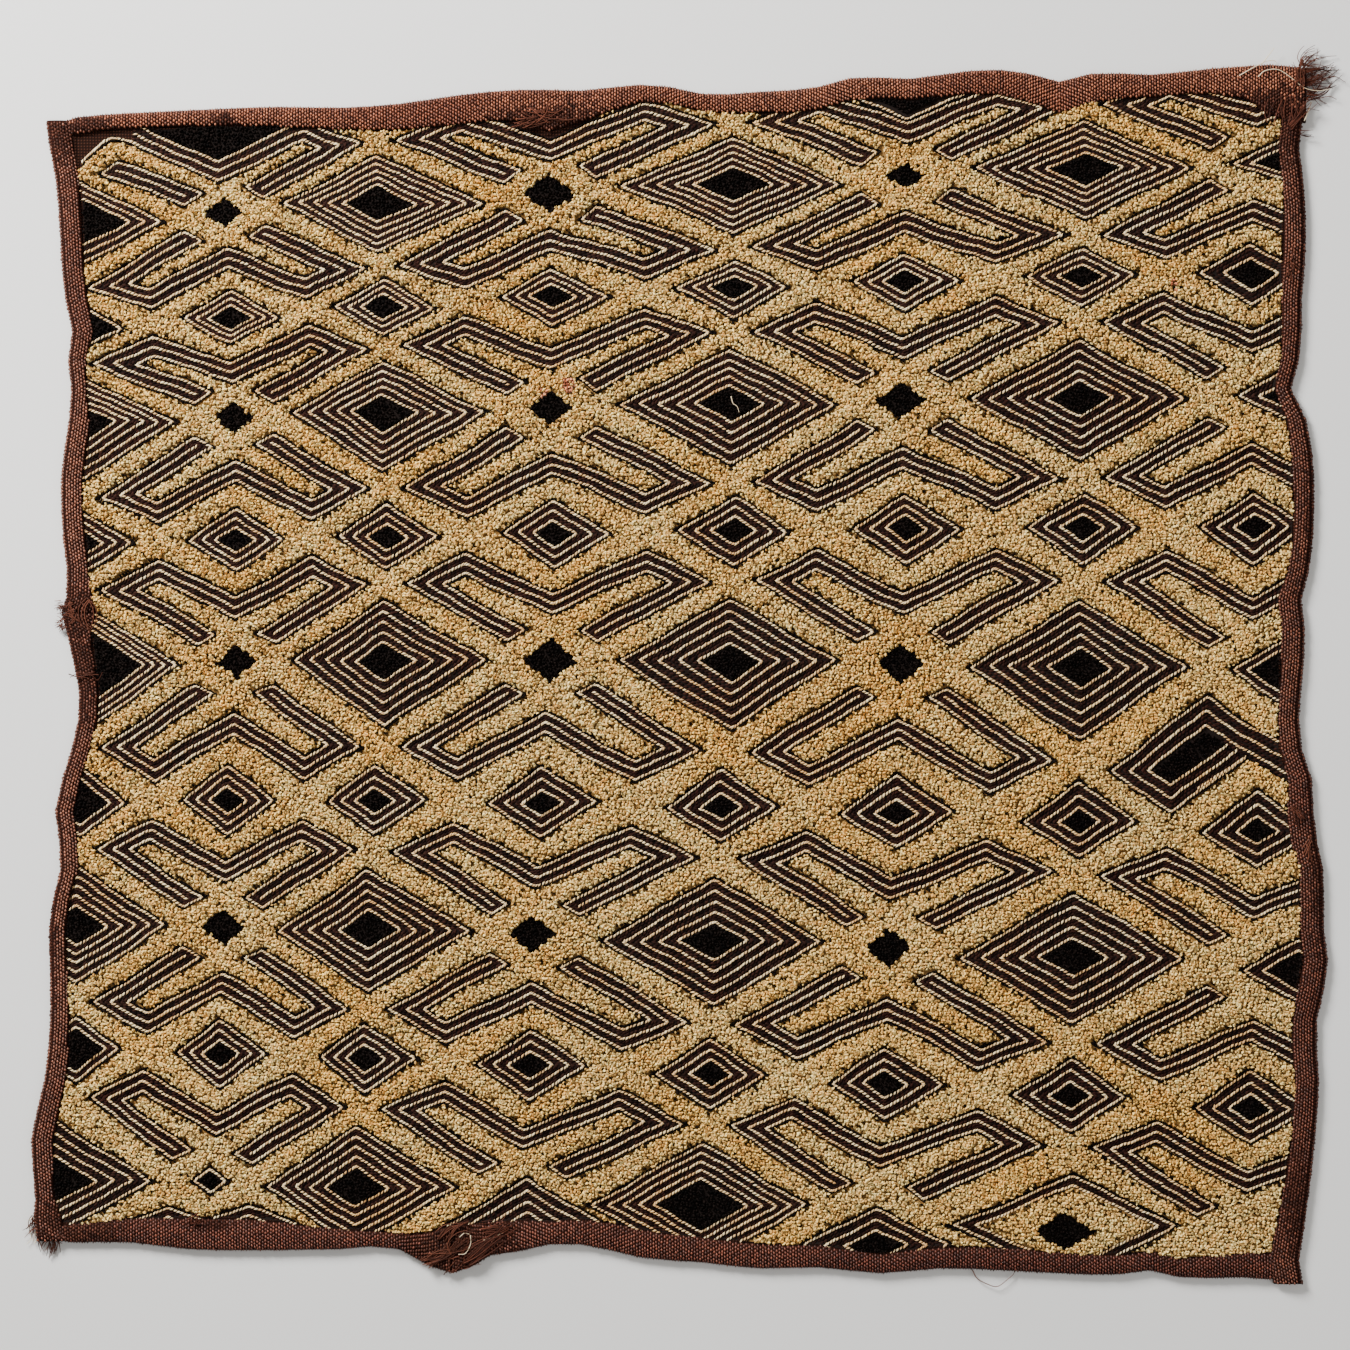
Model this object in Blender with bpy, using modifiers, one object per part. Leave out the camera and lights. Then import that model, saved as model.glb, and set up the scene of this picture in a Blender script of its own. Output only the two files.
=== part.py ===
"""Kuba raffia cloth, lying flat: an embroidered cut-pile panel with sewn-on binding strips.

The cloth lies on the XY plane with its face up: X is its width, Y its height, and the
origin is under the middle of its outer box. Tables are in millimetres, measured from the
middle of the embroidery, and every mesh is built in metres.
"""

import math

import bmesh
import bpy
import numpy as np
from mathutils import Matrix, Vector
from mathutils.geometry import delaunay_2d_cdt

MM = 0.001

# Layers of the panel, heights above the surface that it lies on
PANEL_EDGE_LOW = 1.35
PANEL_EDGE_HIGH = 2.05
PANEL_RIM_LOW = 1.2
PANEL_RIM_HIGH = 2.2
STITCH_VALLEY = 1.6
STITCH_CREST = 2.1
PILE_TOP = 3.6
BLACK_PILE_TOP = 3.2
PILE_UNEVEN = 0.25
PILE_SEED = 7
SWELL = 0.2
SWELL_WIDE = 47.0
SWELL_TALL = 61.0

# Edge of the panel inside its bindings
PANEL_INSET = 1.8
RIM_CLEAR = 0.6
RIM_RISE = 1.2
RIM_FALL = 5.0
UNDER_RAMP = 4.0
EDGE_STEP = 16.0
STATION_CLEAR = 1.0
HALF_SPAN = 300.0

# Bindings: a strip folded over the edge
STRIP_THICK = 0.9
STRIP_LOW = 0.45
STRIP_HIGH = 2.95
FOLD_REACH = 2.0
FOLD_TURN = 0.6
FOLD_LOW = 1.0
FOLD_HIGH = 2.4
JOINT_GAP = 0.3
CORNER_REACH = 14.0

# Embroidery
BOW_HALF = 4.65
BIG_WIDE = 0.624
BIG_TALL = 0.48
SMALL_WIDE = 0.32
SMALL_TALL = 0.27
FIRST_ROW = 0.75
LAST_ROW = 0.25
MOST_FLAT_ROWS = 3
BIG_CORE = 7.0
BIG_ROWS = 5
SMALL_CORE = 4.6
SMALL_ROWS = 3
WALL_OUT = 0.4
WALL_IN = 0.6
CORE_RISE = 0.9
CORE_CLEAR = 0.3
FRAME_WIDTH = 5.7

# Frayed ends
STRAND_THICK = 0.8
STRAND_ROOT = 1.1
STRAND_TIP = 0.4
STRAND_STEPS = 3
BACKING = 1.6
FRAY_DROP = 21.0
FRAY_SHIFT = 1.0


def table(names, *rows):
    """A small table, as one array for each named column."""
    columns = np.array(rows, dtype=float).T
    return dict(zip(names.split(), columns))


# Each side's outer fold: place along the side, distance from the middle, visible strip width
TOP = table(
    "at edge width",
    (-301, 262.5, 9.0), (-275, 265.5, 7.6), (-247, 267.0, 7.6), (-218, 268.4, 8.0),
    (-190, 269.3, 9.5), (-161, 268.9, 10.5), (-133, 270.8, 12.5), (-104, 275.0, 14.0),
    (-76, 277.4, 15.0), (-63, 277.4, 20.0), (-47, 277.0, 15.0), (-19, 279.8, 8.5),
    (-5, 278.8, 8.2), (10, 275.5, 8.5), (38, 276.5, 10.0), (66, 278.8, 10.8),
    (81, 283.0, 10.5), (109, 282.6, 10.0), (138, 286.4, 11.0), (152, 286.9, 12.0),
    (166, 285.0, 14.0), (180, 281.2, 15.0), (195, 285.0, 14.0), (223, 284.5, 10.5),
    (252, 287.4, 12.0), (268, 288.6, 15.5), (280, 289.3, 24.0), (297, 287.5, 26.0),
)
BOTTOM = table(
    "at edge width",
    (-304, 268.9, 9.0), (-290, 269.8, 8.5), (-261, 269.8, 11.4), (-233, 273.1, 14.7),
    (-204, 273.6, 14.5), (-161, 273.1, 9.5), (-133, 273.1, 7.8), (-119, 281.0, 16.0),
    (-108, 284.5, 23.0), (-98, 281.0, 20.0), (-90, 276.0, 16.0), (-76, 274.0, 14.5),
    (-62, 270.8, 11.0), (-47, 270.8, 11.5), (-33, 273.6, 13.0), (-19, 276.9, 13.0),
    (10, 279.3, 11.9), (38, 282.2, 11.4), (66, 281.7, 10.5), (95, 284.5, 9.2),
    (123, 282.2, 10.0), (152, 283.1, 10.5), (180, 284.5, 10.0), (209, 285.0, 9.0),
    (223, 283.1, 8.8), (237, 286.4, 9.2), (266, 286.4, 12.0), (297, 289.3, 13.0),
)
LEFT = table(
    "at edge width",
    (-269, 305.0, 14.0), (-257, 306.5, 13.0), (-249, 305.9, 9.0), (-236, 306.9, 9.5),
    (-221, 307.8, 10.5), (-207, 305.0, 10.5), (-193, 301.6, 10.0), (-164, 298.8, 9.0),
    (-136, 299.0, 8.0), (-121, 299.3, 7.8), (-107, 297.4, 7.8), (-93, 294.0, 8.2),
    (-79, 294.5, 8.6), (-65, 296.4, 8.6), (-50, 293.1, 8.6), (-36, 288.8, 9.0),
    (-22, 285.5, 9.0), (-8, 285.0, 8.8), (7, 287.9, 9.7), (21, 291.2, 11.5),
    (29, 293.5, 16.0), (37, 291.0, 12.0), (64, 292.6, 10.5), (92, 293.6, 10.0),
    (106, 292.1, 10.5), (121, 289.8, 9.5), (135, 288.8, 7.0), (149, 290.2, 8.5),
    (163, 288.3, 10.0), (178, 291.7, 10.5), (206, 294.0, 10.5), (235, 296.2, 10.8),
    (249, 298.8, 11.0), (262.5, 300.8, 11.0),
)
RIGHT = table(
    "at edge width",
    (-289.3, 295.5, 13.8), (-278, 293.6, 13.8), (-264, 295.9, 13.6), (-250, 297.8, 12.5),
    (-221, 301.2, 10.9), (-193, 303.1, 11.4), (-164, 302.1, 12.0), (-150, 305.4, 12.2),
    (-136, 307.3, 11.4), (-121, 305.4, 11.2), (-93, 305.0, 11.0), (-79, 302.1, 12.4),
    (-65, 300.5, 12.6), (-50, 299.7, 11.0), (-36, 295.0, 10.5), (-22, 293.6, 9.8),
    (-8, 294.5, 9.8), (7, 296.0, 10.8), (21, 296.4, 11.0), (35, 294.8, 11.2),
    (49, 298.3, 10.0), (78, 300.7, 9.2), (106, 299.7, 9.8), (121, 296.9, 9.0),
    (135, 289.8, 7.8), (149, 293.6, 8.8), (178, 295.0, 9.5), (206, 296.9, 10.5),
    (235, 295.5, 9.6), (249, 293.6, 9.6), (261, 295.0, 10.0), (289.3, 296.9, 10.0),
)
SPLICE_BOTTOM = -108.0
SPLICE_LEFT = 29.0

# Lattice: columns alternate big diamonds (even) and hubs (odd); rows alternate
# small diamonds (even) and big ones (odd). Each row bends through three heights
# and leans by three shifts, at the left, the middle and the right of the cloth.
COLUMN_X = (-285.0, -213.0, -142.5, -63.0, 23.0, 104.5, 190.0, 272.0)
BEND_X = (-213.0, 23.0, 272.0)
ROWS = table(
    "left mid right lean_left lean_mid lean_right",
    (266.5, 279.8, 291.7, -3.5, 2.5, 1.0),
    (219.0, 232.3, 243.2, -3.5, 2.5, 1.0),
    (169.1, 183.4, 190.5, 0.0, 2.5, -1.0),
    (122.1, 128.3, 131.6, 1.5, 1.0, -1.0),
    (63.7, 67.9, 69.8, 2.5, 3.0, 0.0),
    (5.7, 6.2, 1.0, 2.5, 1.0, -0.5),
    (-60.3, -63.2, -75.0, -1.5, -3.0, 2.0),
    (-120.2, -126.8, -139.2, -4.0, -7.0, 0.0),
    (-180.0, -190.0, -206.2, -5.0, -8.5, -1.0),
    (-240.8, -252.2, -268.9, -9.5, -13.0, -5.0),
    (-297.0, -311.0, -330.0, -11.0, -15.0, -6.0),
)
FIRST_MAIN, LAST_MAIN = 1, 9
EDGE_COLUMN = 7

# Cells that break the repeat: centre, half sizes to each side, black core and cream rows
ODD_CELLS = table(
    "x y left right down up core rows",
    (-222.8, -240.3, 8.6, 8.6, 6.6, 6.6, 3.4, 1),
    (-243.2, -266.0, 36.0, 36.0, 14.0, 14.0, 3.0, 3),
    (-205.2, -265.8, 36.0, 36.0, 14.0, 14.0, 3.0, 3),
    (-72.5, -266.0, 45.0, 45.0, 27.0, 27.0, 4.0, 5),
    (93.0, -271.0, 36.0, 36.0, 18.0, 18.0, 5.5, 3),
    (291.7, 242.7, 30.0, 20.0, 10.5, 14.7, 7.0, 2),
    (292.0, 132.0, 27.6, 20.0, 13.5, 17.0, 6.8, 2),
    (291.3, 2.0, 30.0, 20.0, 20.0, 17.0, 10.0, 2),
    (294.0, -141.0, 28.0, 20.0, 15.3, 15.2, 7.1, 2),
    (-217.5, 266.0, 48.0, 48.0, 21.0, 21.0, 12.5, 2),
    (107.0, 281.5, 45.0, 45.0, 19.0, 19.0, 14.0, 1),
)
# Lattice diamonds whose black core or number of cream rows differs from the rest
OTHER_CORES = table(
    "column row core rows",
    (0, 1, 13.0, 3), (0, 2, 9.5, 1), (0, 5, 15.0, 4), (0, 6, 8.0, 2), (0, 8, 8.0, 2),
    (4, 9, 10.0, 5), (7, 2, 5.6, 2),
)
# Black hubs at the crossings, half sizes
HUBS = table(
    "column row wide tall",
    (1, 1, 10.0, 7.5), (3, 1, 13.0, 9.0), (5, 1, 9.5, 6.5),
    (1, 3, 10.0, 8.0), (3, 3, 10.5, 8.0), (5, 3, 12.0, 9.0),
    (1, 5, 10.5, 8.5), (3, 5, 12.5, 10.5), (5, 5, 11.5, 9.5),
    (1, 7, 10.5, 8.5), (3, 7, 12.0, 9.5), (5, 7, 11.0, 9.5),
)
# The framed diamond at the bottom, filled with pile round a black one
FRAMED_AT = (187.0, -262.0)
FRAMED = (59.0, 50.0, 26.0, 24.5)
FRAMED_CORE_AT = (182.5, -264.5)
FRAMED_CORE = (15.0, 15.0, 9.0, 9.0)
# The slanted bar cell at the right: its corners at the left, top, right and bottom
BAR_CORNERS = ((203.5, -45.5), (250.0, -9.5), (279.5, -32.5), (233.0, -67.0))
BAR_CORE = 5.5
BAR_ROWS = 3


def refined(tab):
    """The same side with even steps between its rows, on a smooth curve through them."""
    rows = tab["at"]
    places = [
        place
        for near, far in zip(rows, rows[1:])
        for place in np.linspace(near, far, math.ceil((far - near) / EDGE_STEP), endpoint=False)
    ]
    at = np.array(places + [rows[-1]])
    low = np.clip(np.searchsorted(rows, at) - 1, 0, len(rows) - 2)
    span = rows[low + 1] - rows[low]
    t = (at - rows[low]) / span
    side = {"at": at}
    for name in ("edge", "width"):
        values = tab[name]
        slopes = np.gradient(values, rows)
        side[name] = (
            (2 * t**3 - 3 * t**2 + 1) * values[low] + (t**3 - 2 * t**2 + t) * span * slopes[low]
            + (3 * t**2 - 2 * t**3) * values[low + 1] + (t**3 - t**2) * span * slopes[low + 1]
        )
    return side


TOP, BOTTOM, LEFT, RIGHT = (refined(tab) for tab in (TOP, BOTTOM, LEFT, RIGHT))


def along_side(tab, name, at):
    """A side's edge or width at a place, straight between its stations."""
    return np.interp(at, tab["at"], tab[name])


def stations(tab, start, end):
    """The places along a side where its outline bends, between two ends."""
    near, far = start + STATION_CLEAR, end - STATION_CLEAR
    between = [place for place in tab["at"] if near < place < far]
    return np.array([start] + between + [end])


def depths(points):
    """How far each point is in from every side's outer fold, with that side's strip width."""
    x, y = points[:, 0], points[:, 1]
    return (
        (along_side(TOP, "edge", x) - y, along_side(TOP, "width", x)),
        (along_side(BOTTOM, "edge", x) + y, along_side(BOTTOM, "width", x)),
        (along_side(LEFT, "edge", y) + x, along_side(LEFT, "width", y)),
        (along_side(RIGHT, "edge", y) - x, along_side(RIGHT, "width", y)),
    )


def clear_of_strips(points):
    """How far each point is in from the strips' inner edges, negative under a strip."""
    return np.min([depth - width for depth, width in depths(points)], axis=0)


def border(inset, widths):
    """A closed outline, at an inset from the outer fold plus a multiple of the strip width."""

    def reach(tab, at):
        return along_side(tab, "edge", at) - inset - widths * along_side(tab, "width", at)

    def corner(side, sign_x, end, sign_y):
        x = sign_x * HALF_SPAN
        for _ in range(12):
            y = sign_y * reach(end, x)
            x = sign_x * reach(side, y)
        return x, y

    bottom_left = corner(LEFT, -1, BOTTOM, -1)
    bottom_right = corner(RIGHT, 1, BOTTOM, -1)
    top_right = corner(RIGHT, 1, TOP, 1)
    top_left = corner(LEFT, -1, TOP, 1)

    bottom = stations(BOTTOM, bottom_left[0], bottom_right[0])[:-1]
    right = stations(RIGHT, bottom_right[1], top_right[1])[:-1]
    top = stations(TOP, top_left[0], top_right[0])[:0:-1]
    left = stations(LEFT, bottom_left[1], top_left[1])[:0:-1]
    points = [(x, -reach(BOTTOM, x)) for x in bottom]
    points += [(reach(RIGHT, y), y) for y in right]
    points += [(x, reach(TOP, x)) for x in top]
    points += [(-reach(LEFT, y), y) for y in left]
    return np.array(points, dtype=float)


def bend(x, left, mid, right):
    """The value at x of the parabola through three values at BEND_X."""
    a, b, c = BEND_X
    return (
        left * (x - b) * (x - c) / ((a - b) * (a - c))
        + mid * (x - a) * (x - c) / ((b - a) * (b - c))
        + right * (x - a) * (x - b) / ((c - a) * (c - b))
    )


def node(column, row):
    """The place of a lattice crossing; columns past the ends go on at the last spacing."""
    if column < len(COLUMN_X):
        base = COLUMN_X[column]
    else:
        base = 2 * COLUMN_X[-1] - COLUMN_X[-2]
    lean = bend(base, ROWS["lean_left"][row], ROWS["lean_mid"][row], ROWS["lean_right"][row])
    height = bend(base, ROWS["left"][row], ROWS["mid"][row], ROWS["right"][row])
    return np.array((base + lean, height))


def spacing(column, row):
    """Distances from a crossing to its neighbours: left, right, down, up."""
    here = node(column, row)
    right = node(column + 1, row)[0] - here[0]
    left = here[0] - node(column - 1, row)[0] if column > 0 else right
    up = node(column, row - 1)[1] - here[1]
    down = here[1] - node(column, row + 1)[1]
    return left, right, down, up


def diamond(centre, halves, core, rows):
    """A stitched diamond: halves are its reach left, right, down and up from its centre."""
    left, right, down, up = halves
    wide, tall = (left + right) / 2, (down + up) / 2
    return stitched("diamond", wide * tall / math.hypot(wide, tall), core, rows, centre, halves)


def stitched(kind, reach, core, rows, centre, halves):
    """A cell with cream rows at an even pitch from its outline in to its black core,
    the last of them a part of the pitch from the core."""
    depth = max(reach - core - FIRST_ROW, FIRST_ROW)
    return {
        "kind": kind, "centre": np.array(centre), "halves": halves, "reach": reach,
        "core": core, "rows": int(rows), "pitch": depth / (rows - 1 + LAST_ROW),
    }


def slanted_bar():
    """The slanted cell with a black bar, as a parallelogram."""
    corners = np.array(BAR_CORNERS)
    middle = corners.mean(axis=0)
    reach = float(edge_depths(corners, middle[None]).min())
    return stitched("bar", reach, BAR_CORE, BAR_ROWS, middle, corners)


def edge_depths(corners, points):
    """How far each point is in from each straight side of a convex outline."""
    depth = []
    for a, b in zip(corners, np.roll(corners, -1, axis=0)):
        along = (b - a) / np.linalg.norm(b - a)
        depth.append((points[:, 0] - a[0]) * along[1] - (points[:, 1] - a[1]) * along[0])
    return np.array(depth)


def bar_loop(cell, depth):
    """The parallelogram's outline, moved in by a depth."""
    corners = cell["halves"]
    moved = []
    for before, here, after in zip(np.roll(corners, 1, axis=0), corners, np.roll(corners, -1, axis=0)):
        come = (here - before) / np.linalg.norm(here - before)
        leave = (after - here) / np.linalg.norm(after - here)
        total = np.array((come[1] + leave[1], -come[0] - leave[0]))
        moved.append(here + total * depth / (1 + come @ leave))
    return np.array(moved)


def diamond_loop(cell, depth):
    """The diamond's outline, moved in by a depth."""
    left, right, down, up = cell["halves"]
    k = 1 - depth / cell["reach"]
    x, y = cell["centre"]
    return np.array(((x + right * k, y), (x, y + up * k), (x - left * k, y), (x, y - down * k)))


def diamond_depth(cell, points):
    """How deep each point lies inside a diamond's or a bar's outline."""
    if cell["kind"] == "bar":
        return edge_depths(cell["halves"], points).min(axis=0)
    left, right, down, up = cell["halves"]
    offset = points - cell["centre"]
    across = np.where(offset[:, 0] > 0, offset[:, 0] / right, -offset[:, 0] / left)
    along = np.where(offset[:, 1] > 0, offset[:, 1] / up, -offset[:, 1] / down)
    return (1 - across - along) * cell["reach"]


# Right half of a bow's centre line, as shares of the lattice spacing from its hub
BOW_LINE = table("u v", (0.0, 0.44), (0.51, 0.77), (0.76, 0.612), (0.20, 0.19))
BOW_SKEW = 0.6
# The top left bow is open: its left side runs on to the edge, over a short strip of its own
OPEN_BOW = (1, 1)
OPEN_END = (-275.5, 264.0)
SHORT_STRIP = ((-271.0, 241.0), (-230.5, 225.0))
SHORT_SKEW = 0.7


def bow(column, row, up):
    """A stitched bow over or under a hub: its centre line, from one arm's end to the other's."""
    hub = node(column, row)
    ahead = node(column, row - 1 if up else row + 1)
    line = []
    for side in (-1, 1):
        beside = node(column + side, row)
        across = node(column + side, row - 1 if up else row + 1)
        half = []
        for u, v in zip(BOW_LINE["u"], BOW_LINE["v"]):
            near = hub * (1 - u) + beside * u
            far = ahead * (1 - u) + across * u
            half.append(near * (1 - v) + far * v)
        last = 2 if column == EDGE_COLUMN else len(half)
        line += half[::-1] if side < 0 else half[1:last]
    if up and (column, row) == OPEN_BOW:
        line = [np.array(OPEN_END)] + line[len(half) - 1:]
    skew = BOW_SKEW if up else -BOW_SKEW
    return {"kind": "bow", "line": np.array(line), "skews": (skew, -skew)}


def offset_line(line, shift, skews):
    """The line moved sideways, with mitred corners and each end cut on its own slant."""
    steps = np.diff(line, axis=0)
    steps /= np.linalg.norm(steps, axis=1)[:, None]
    normals = np.stack((-steps[:, 1], steps[:, 0]), axis=1)
    moved = [line[0] + normals[0] * shift + steps[0] * skews[0] * shift]
    for k in range(1, len(line) - 1):
        total = normals[k - 1] + normals[k]
        moved.append(line[k] + total * shift / (1 + normals[k - 1] @ normals[k]))
    moved.append(line[-1] + normals[-1] * shift + steps[-1] * skews[1] * shift)
    return np.array(moved)


def bow_loop(cell, depth):
    """The bow's outline, moved in by a depth."""
    half = BOW_HALF - depth
    one = offset_line(cell["line"], half, cell["skews"])
    other = offset_line(cell["line"], -half, cell["skews"])
    return np.vstack((one, other[::-1]))


def bow_depth(cell, points):
    """How deep each point lies inside the bow's outline, negative outside."""
    loop = bow_loop(cell, 0.0)
    nearest = np.full(len(points), 1e9)
    inside = np.zeros(len(points), dtype=bool)
    for a, b in zip(loop, np.roll(loop, -1, axis=0)):
        along = b - a
        t = np.clip((points - a) @ along / (along @ along), 0, 1)
        nearest = np.minimum(nearest, np.linalg.norm(points - a - t[:, None] * along, axis=1))
        spans = (a[1] > points[:, 1]) != (b[1] > points[:, 1])
        height = along[1] if along[1] else 1e-9
        crossing = a[0] + (points[:, 1] - a[1]) * along[0] / height
        inside ^= spans & (points[:, 0] < crossing)
    return np.where(inside, nearest, -nearest)


def embroidery():
    """Every stitched cell and black hub, from the lattice and the odd cells."""
    others = {tuple(key[:2]): key[2:] for key in zip(*OTHER_CORES.values())}
    cells = []
    for row in range(FIRST_MAIN, LAST_MAIN + 1):
        main = row % 2 == 1
        for column in range(len(COLUMN_X)):
            left, right, down, up = spacing(column, row)
            if main and column % 2 == 1:
                cells.append(bow(column, row, True))
                if row < LAST_MAIN and (column, row) != (EDGE_COLUMN, 5):
                    cells.append(bow(column, row, False))
            elif main and (column, row) != (EDGE_COLUMN - 1, LAST_MAIN):
                halves = (BIG_WIDE * left, BIG_WIDE * right, BIG_TALL * down, BIG_TALL * up)
                core, rows = others.get((column, row), (BIG_CORE, BIG_ROWS))
                cells.append(diamond(node(column, row), halves, core, rows))
            elif not main:
                halves = (SMALL_WIDE * left, SMALL_WIDE * right, SMALL_TALL * down, SMALL_TALL * up)
                core, rows = others.get((column, row), (SMALL_CORE, SMALL_ROWS))
                cells.append(diamond(node(column, row), halves, core, rows))
    for x, y, left, right, down, up, core, rows in zip(*ODD_CELLS.values()):
        cells.append(diamond((x, y), (left, right, down, up), core, rows))
    cells.append({"kind": "bow", "line": np.array(SHORT_STRIP), "skews": (SHORT_SKEW, SHORT_SKEW)})
    cells.append(slanted_bar())
    framed = diamond(FRAMED_AT, FRAMED, 0.0, 1)
    framed["kind"] = "frame"
    framed["pitch"] = FRAME_WIDTH - 2 * FIRST_ROW
    cells.append(framed)
    hubs = [diamond(FRAMED_CORE_AT, FRAMED_CORE, 0.0, 1)]
    for column, row, wide, tall in zip(*HUBS.values()):
        hubs.append(diamond(node(int(column), int(row)), (wide, wide, tall, tall), 0.0, 1))
    return cells, hubs


def cell_loops(cell):
    """The outlines at which the panel's face bends over one cell."""
    if cell["kind"] == "bow":
        return [bow_loop(cell, -WALL_OUT), bow_loop(cell, WALL_IN)], [cell["line"]]
    depths_in = [-WALL_OUT, WALL_IN]
    if cell["kind"] == "frame":
        depths_in += [FRAME_WIDTH - WALL_IN, FRAME_WIDTH + WALL_OUT]
        return [diamond_loop(cell, depth) for depth in depths_in], []
    for k in range(cell["rows"] if cell["rows"] > MOST_FLAT_ROWS else 1):
        depths_in += [FIRST_ROW + (k + 0.5) * cell["pitch"]]
        if k + 1 < cell["rows"]:
            depths_in += [FIRST_ROW + (k + 1) * cell["pitch"]]
    foot = cell["reach"] - cell["core"]
    depths_in = [depth for depth in depths_in if depth < foot - CORE_CLEAR]
    depths_in += [foot, foot + CORE_RISE]
    shape = bar_loop if cell["kind"] == "bar" else diamond_loop
    return [shape(cell, depth) for depth in depths_in], []


def cell_height(cell, points, pile):
    """The face's height over one cell; outside the cell it is the pile's."""
    if cell["kind"] == "bow":
        depth = bow_depth(cell, points)
        floor = STITCH_VALLEY + (STITCH_CREST - STITCH_VALLEY) * np.clip(depth / BOW_HALF, 0, 1)
        return floor + (pile - floor) * np.clip((WALL_IN - depth) / (WALL_IN + WALL_OUT), 0, 1)
    depth = diamond_depth(cell, points)
    wave = np.abs(2 * (((depth - FIRST_ROW) / cell["pitch"]) % 1) - 1)
    floor = STITCH_VALLEY + (STITCH_CREST - STITCH_VALLEY) * wave
    height = floor + (pile - floor) * np.clip((WALL_IN - depth) / (WALL_IN + WALL_OUT), 0, 1)
    if cell["kind"] == "frame":
        inner = np.clip((depth - FRAME_WIDTH + WALL_IN) / (WALL_IN + WALL_OUT), 0, 1)
        return height + (pile - height) * inner
    rise = np.clip((depth - cell["reach"] + cell["core"]) / CORE_RISE, 0, 1)
    return height + (BLACK_PILE_TOP - height) * rise


def face_height(points, cells):
    """Height of the panel's face: pile, sunk stitched cells, and the low rim in the strips."""
    x, y = points[:, 0], points[:, 1]
    lumps = np.random.default_rng(PILE_SEED).random(len(points)) - 0.5
    swell = SWELL * np.sin(x / SWELL_WIDE) * np.cos(y / SWELL_TALL)
    pile = PILE_TOP + swell + PILE_UNEVEN * lumps
    height = pile.copy()
    for cell in cells:
        height = np.minimum(height, cell_height(cell, points, pile))
    clear = clear_of_strips(points)
    edge = PANEL_EDGE_HIGH + (PANEL_RIM_HIGH - PANEL_EDGE_HIGH) * np.clip(1 + clear / RIM_FALL, 0, 1)
    inner = np.clip((clear - RIM_CLEAR) / RIM_RISE, 0, 1)
    return edge + (height - edge) * inner


def hub_height(hub, points, heights):
    """Lower the face to the short black pile of a hub."""
    depth = diamond_depth(hub, points)
    share = np.clip(depth / CORE_RISE, 0, 1)
    return heights + (np.minimum(heights, BLACK_PILE_TOP) - heights) * share


def under_height(points):
    """Height of the panel's underside: flat, and lifted where the strips pass below it."""
    clear = clear_of_strips(points)
    edge = PANEL_EDGE_LOW + (PANEL_RIM_LOW - PANEL_EDGE_LOW) * np.clip(1 + clear / RIM_FALL, 0, 1)
    return edge * np.clip(1 - (clear - RIM_CLEAR) / UNDER_RAMP, 0, 1)


def inside_loop(points, loop):
    """Which points lie inside a closed outline."""
    inside = np.zeros(len(points), dtype=bool)
    for a, b in zip(loop, np.roll(loop, -1, axis=0)):
        spans = (a[1] > points[:, 1]) != (b[1] > points[:, 1])
        height = b[1] - a[1] if b[1] != a[1] else 1e-9
        inside ^= spans & (points[:, 0] < a[0] + (points[:, 1] - a[1]) * (b[0] - a[0]) / height)
    return inside


def triangulate(outline, loops, lines):
    """Triangles over an outline, with edges along the given loops and open lines."""
    points = []
    edges = []
    for path, closed in [(outline, True)] + [(p, True) for p in loops] + [(p, False) for p in lines]:
        start = len(points)
        points += [Vector((float(x), float(y))) for x, y in path]
        count = len(path)
        edges += [(start + k, start + (k + 1) % count) for k in range(count if closed else count - 1)]
    found = delaunay_2d_cdt(points, edges, [], 0, 1e-3, False)
    corners = np.array([tuple(p) for p in found[0]])
    faces = np.array([face for face in found[2] if len(face) == 3])
    middles = corners[faces].mean(axis=1)
    return corners, faces[inside_loop(middles, outline)]


def boundary(faces):
    """The triangles' outer edges, in their winding order."""
    edges = {}
    for a, b, c in faces:
        for edge in ((a, b), (b, c), (c, a)):
            edges[edge] = True
    return [edge for edge in edges if (edge[1], edge[0]) not in edges]


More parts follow.
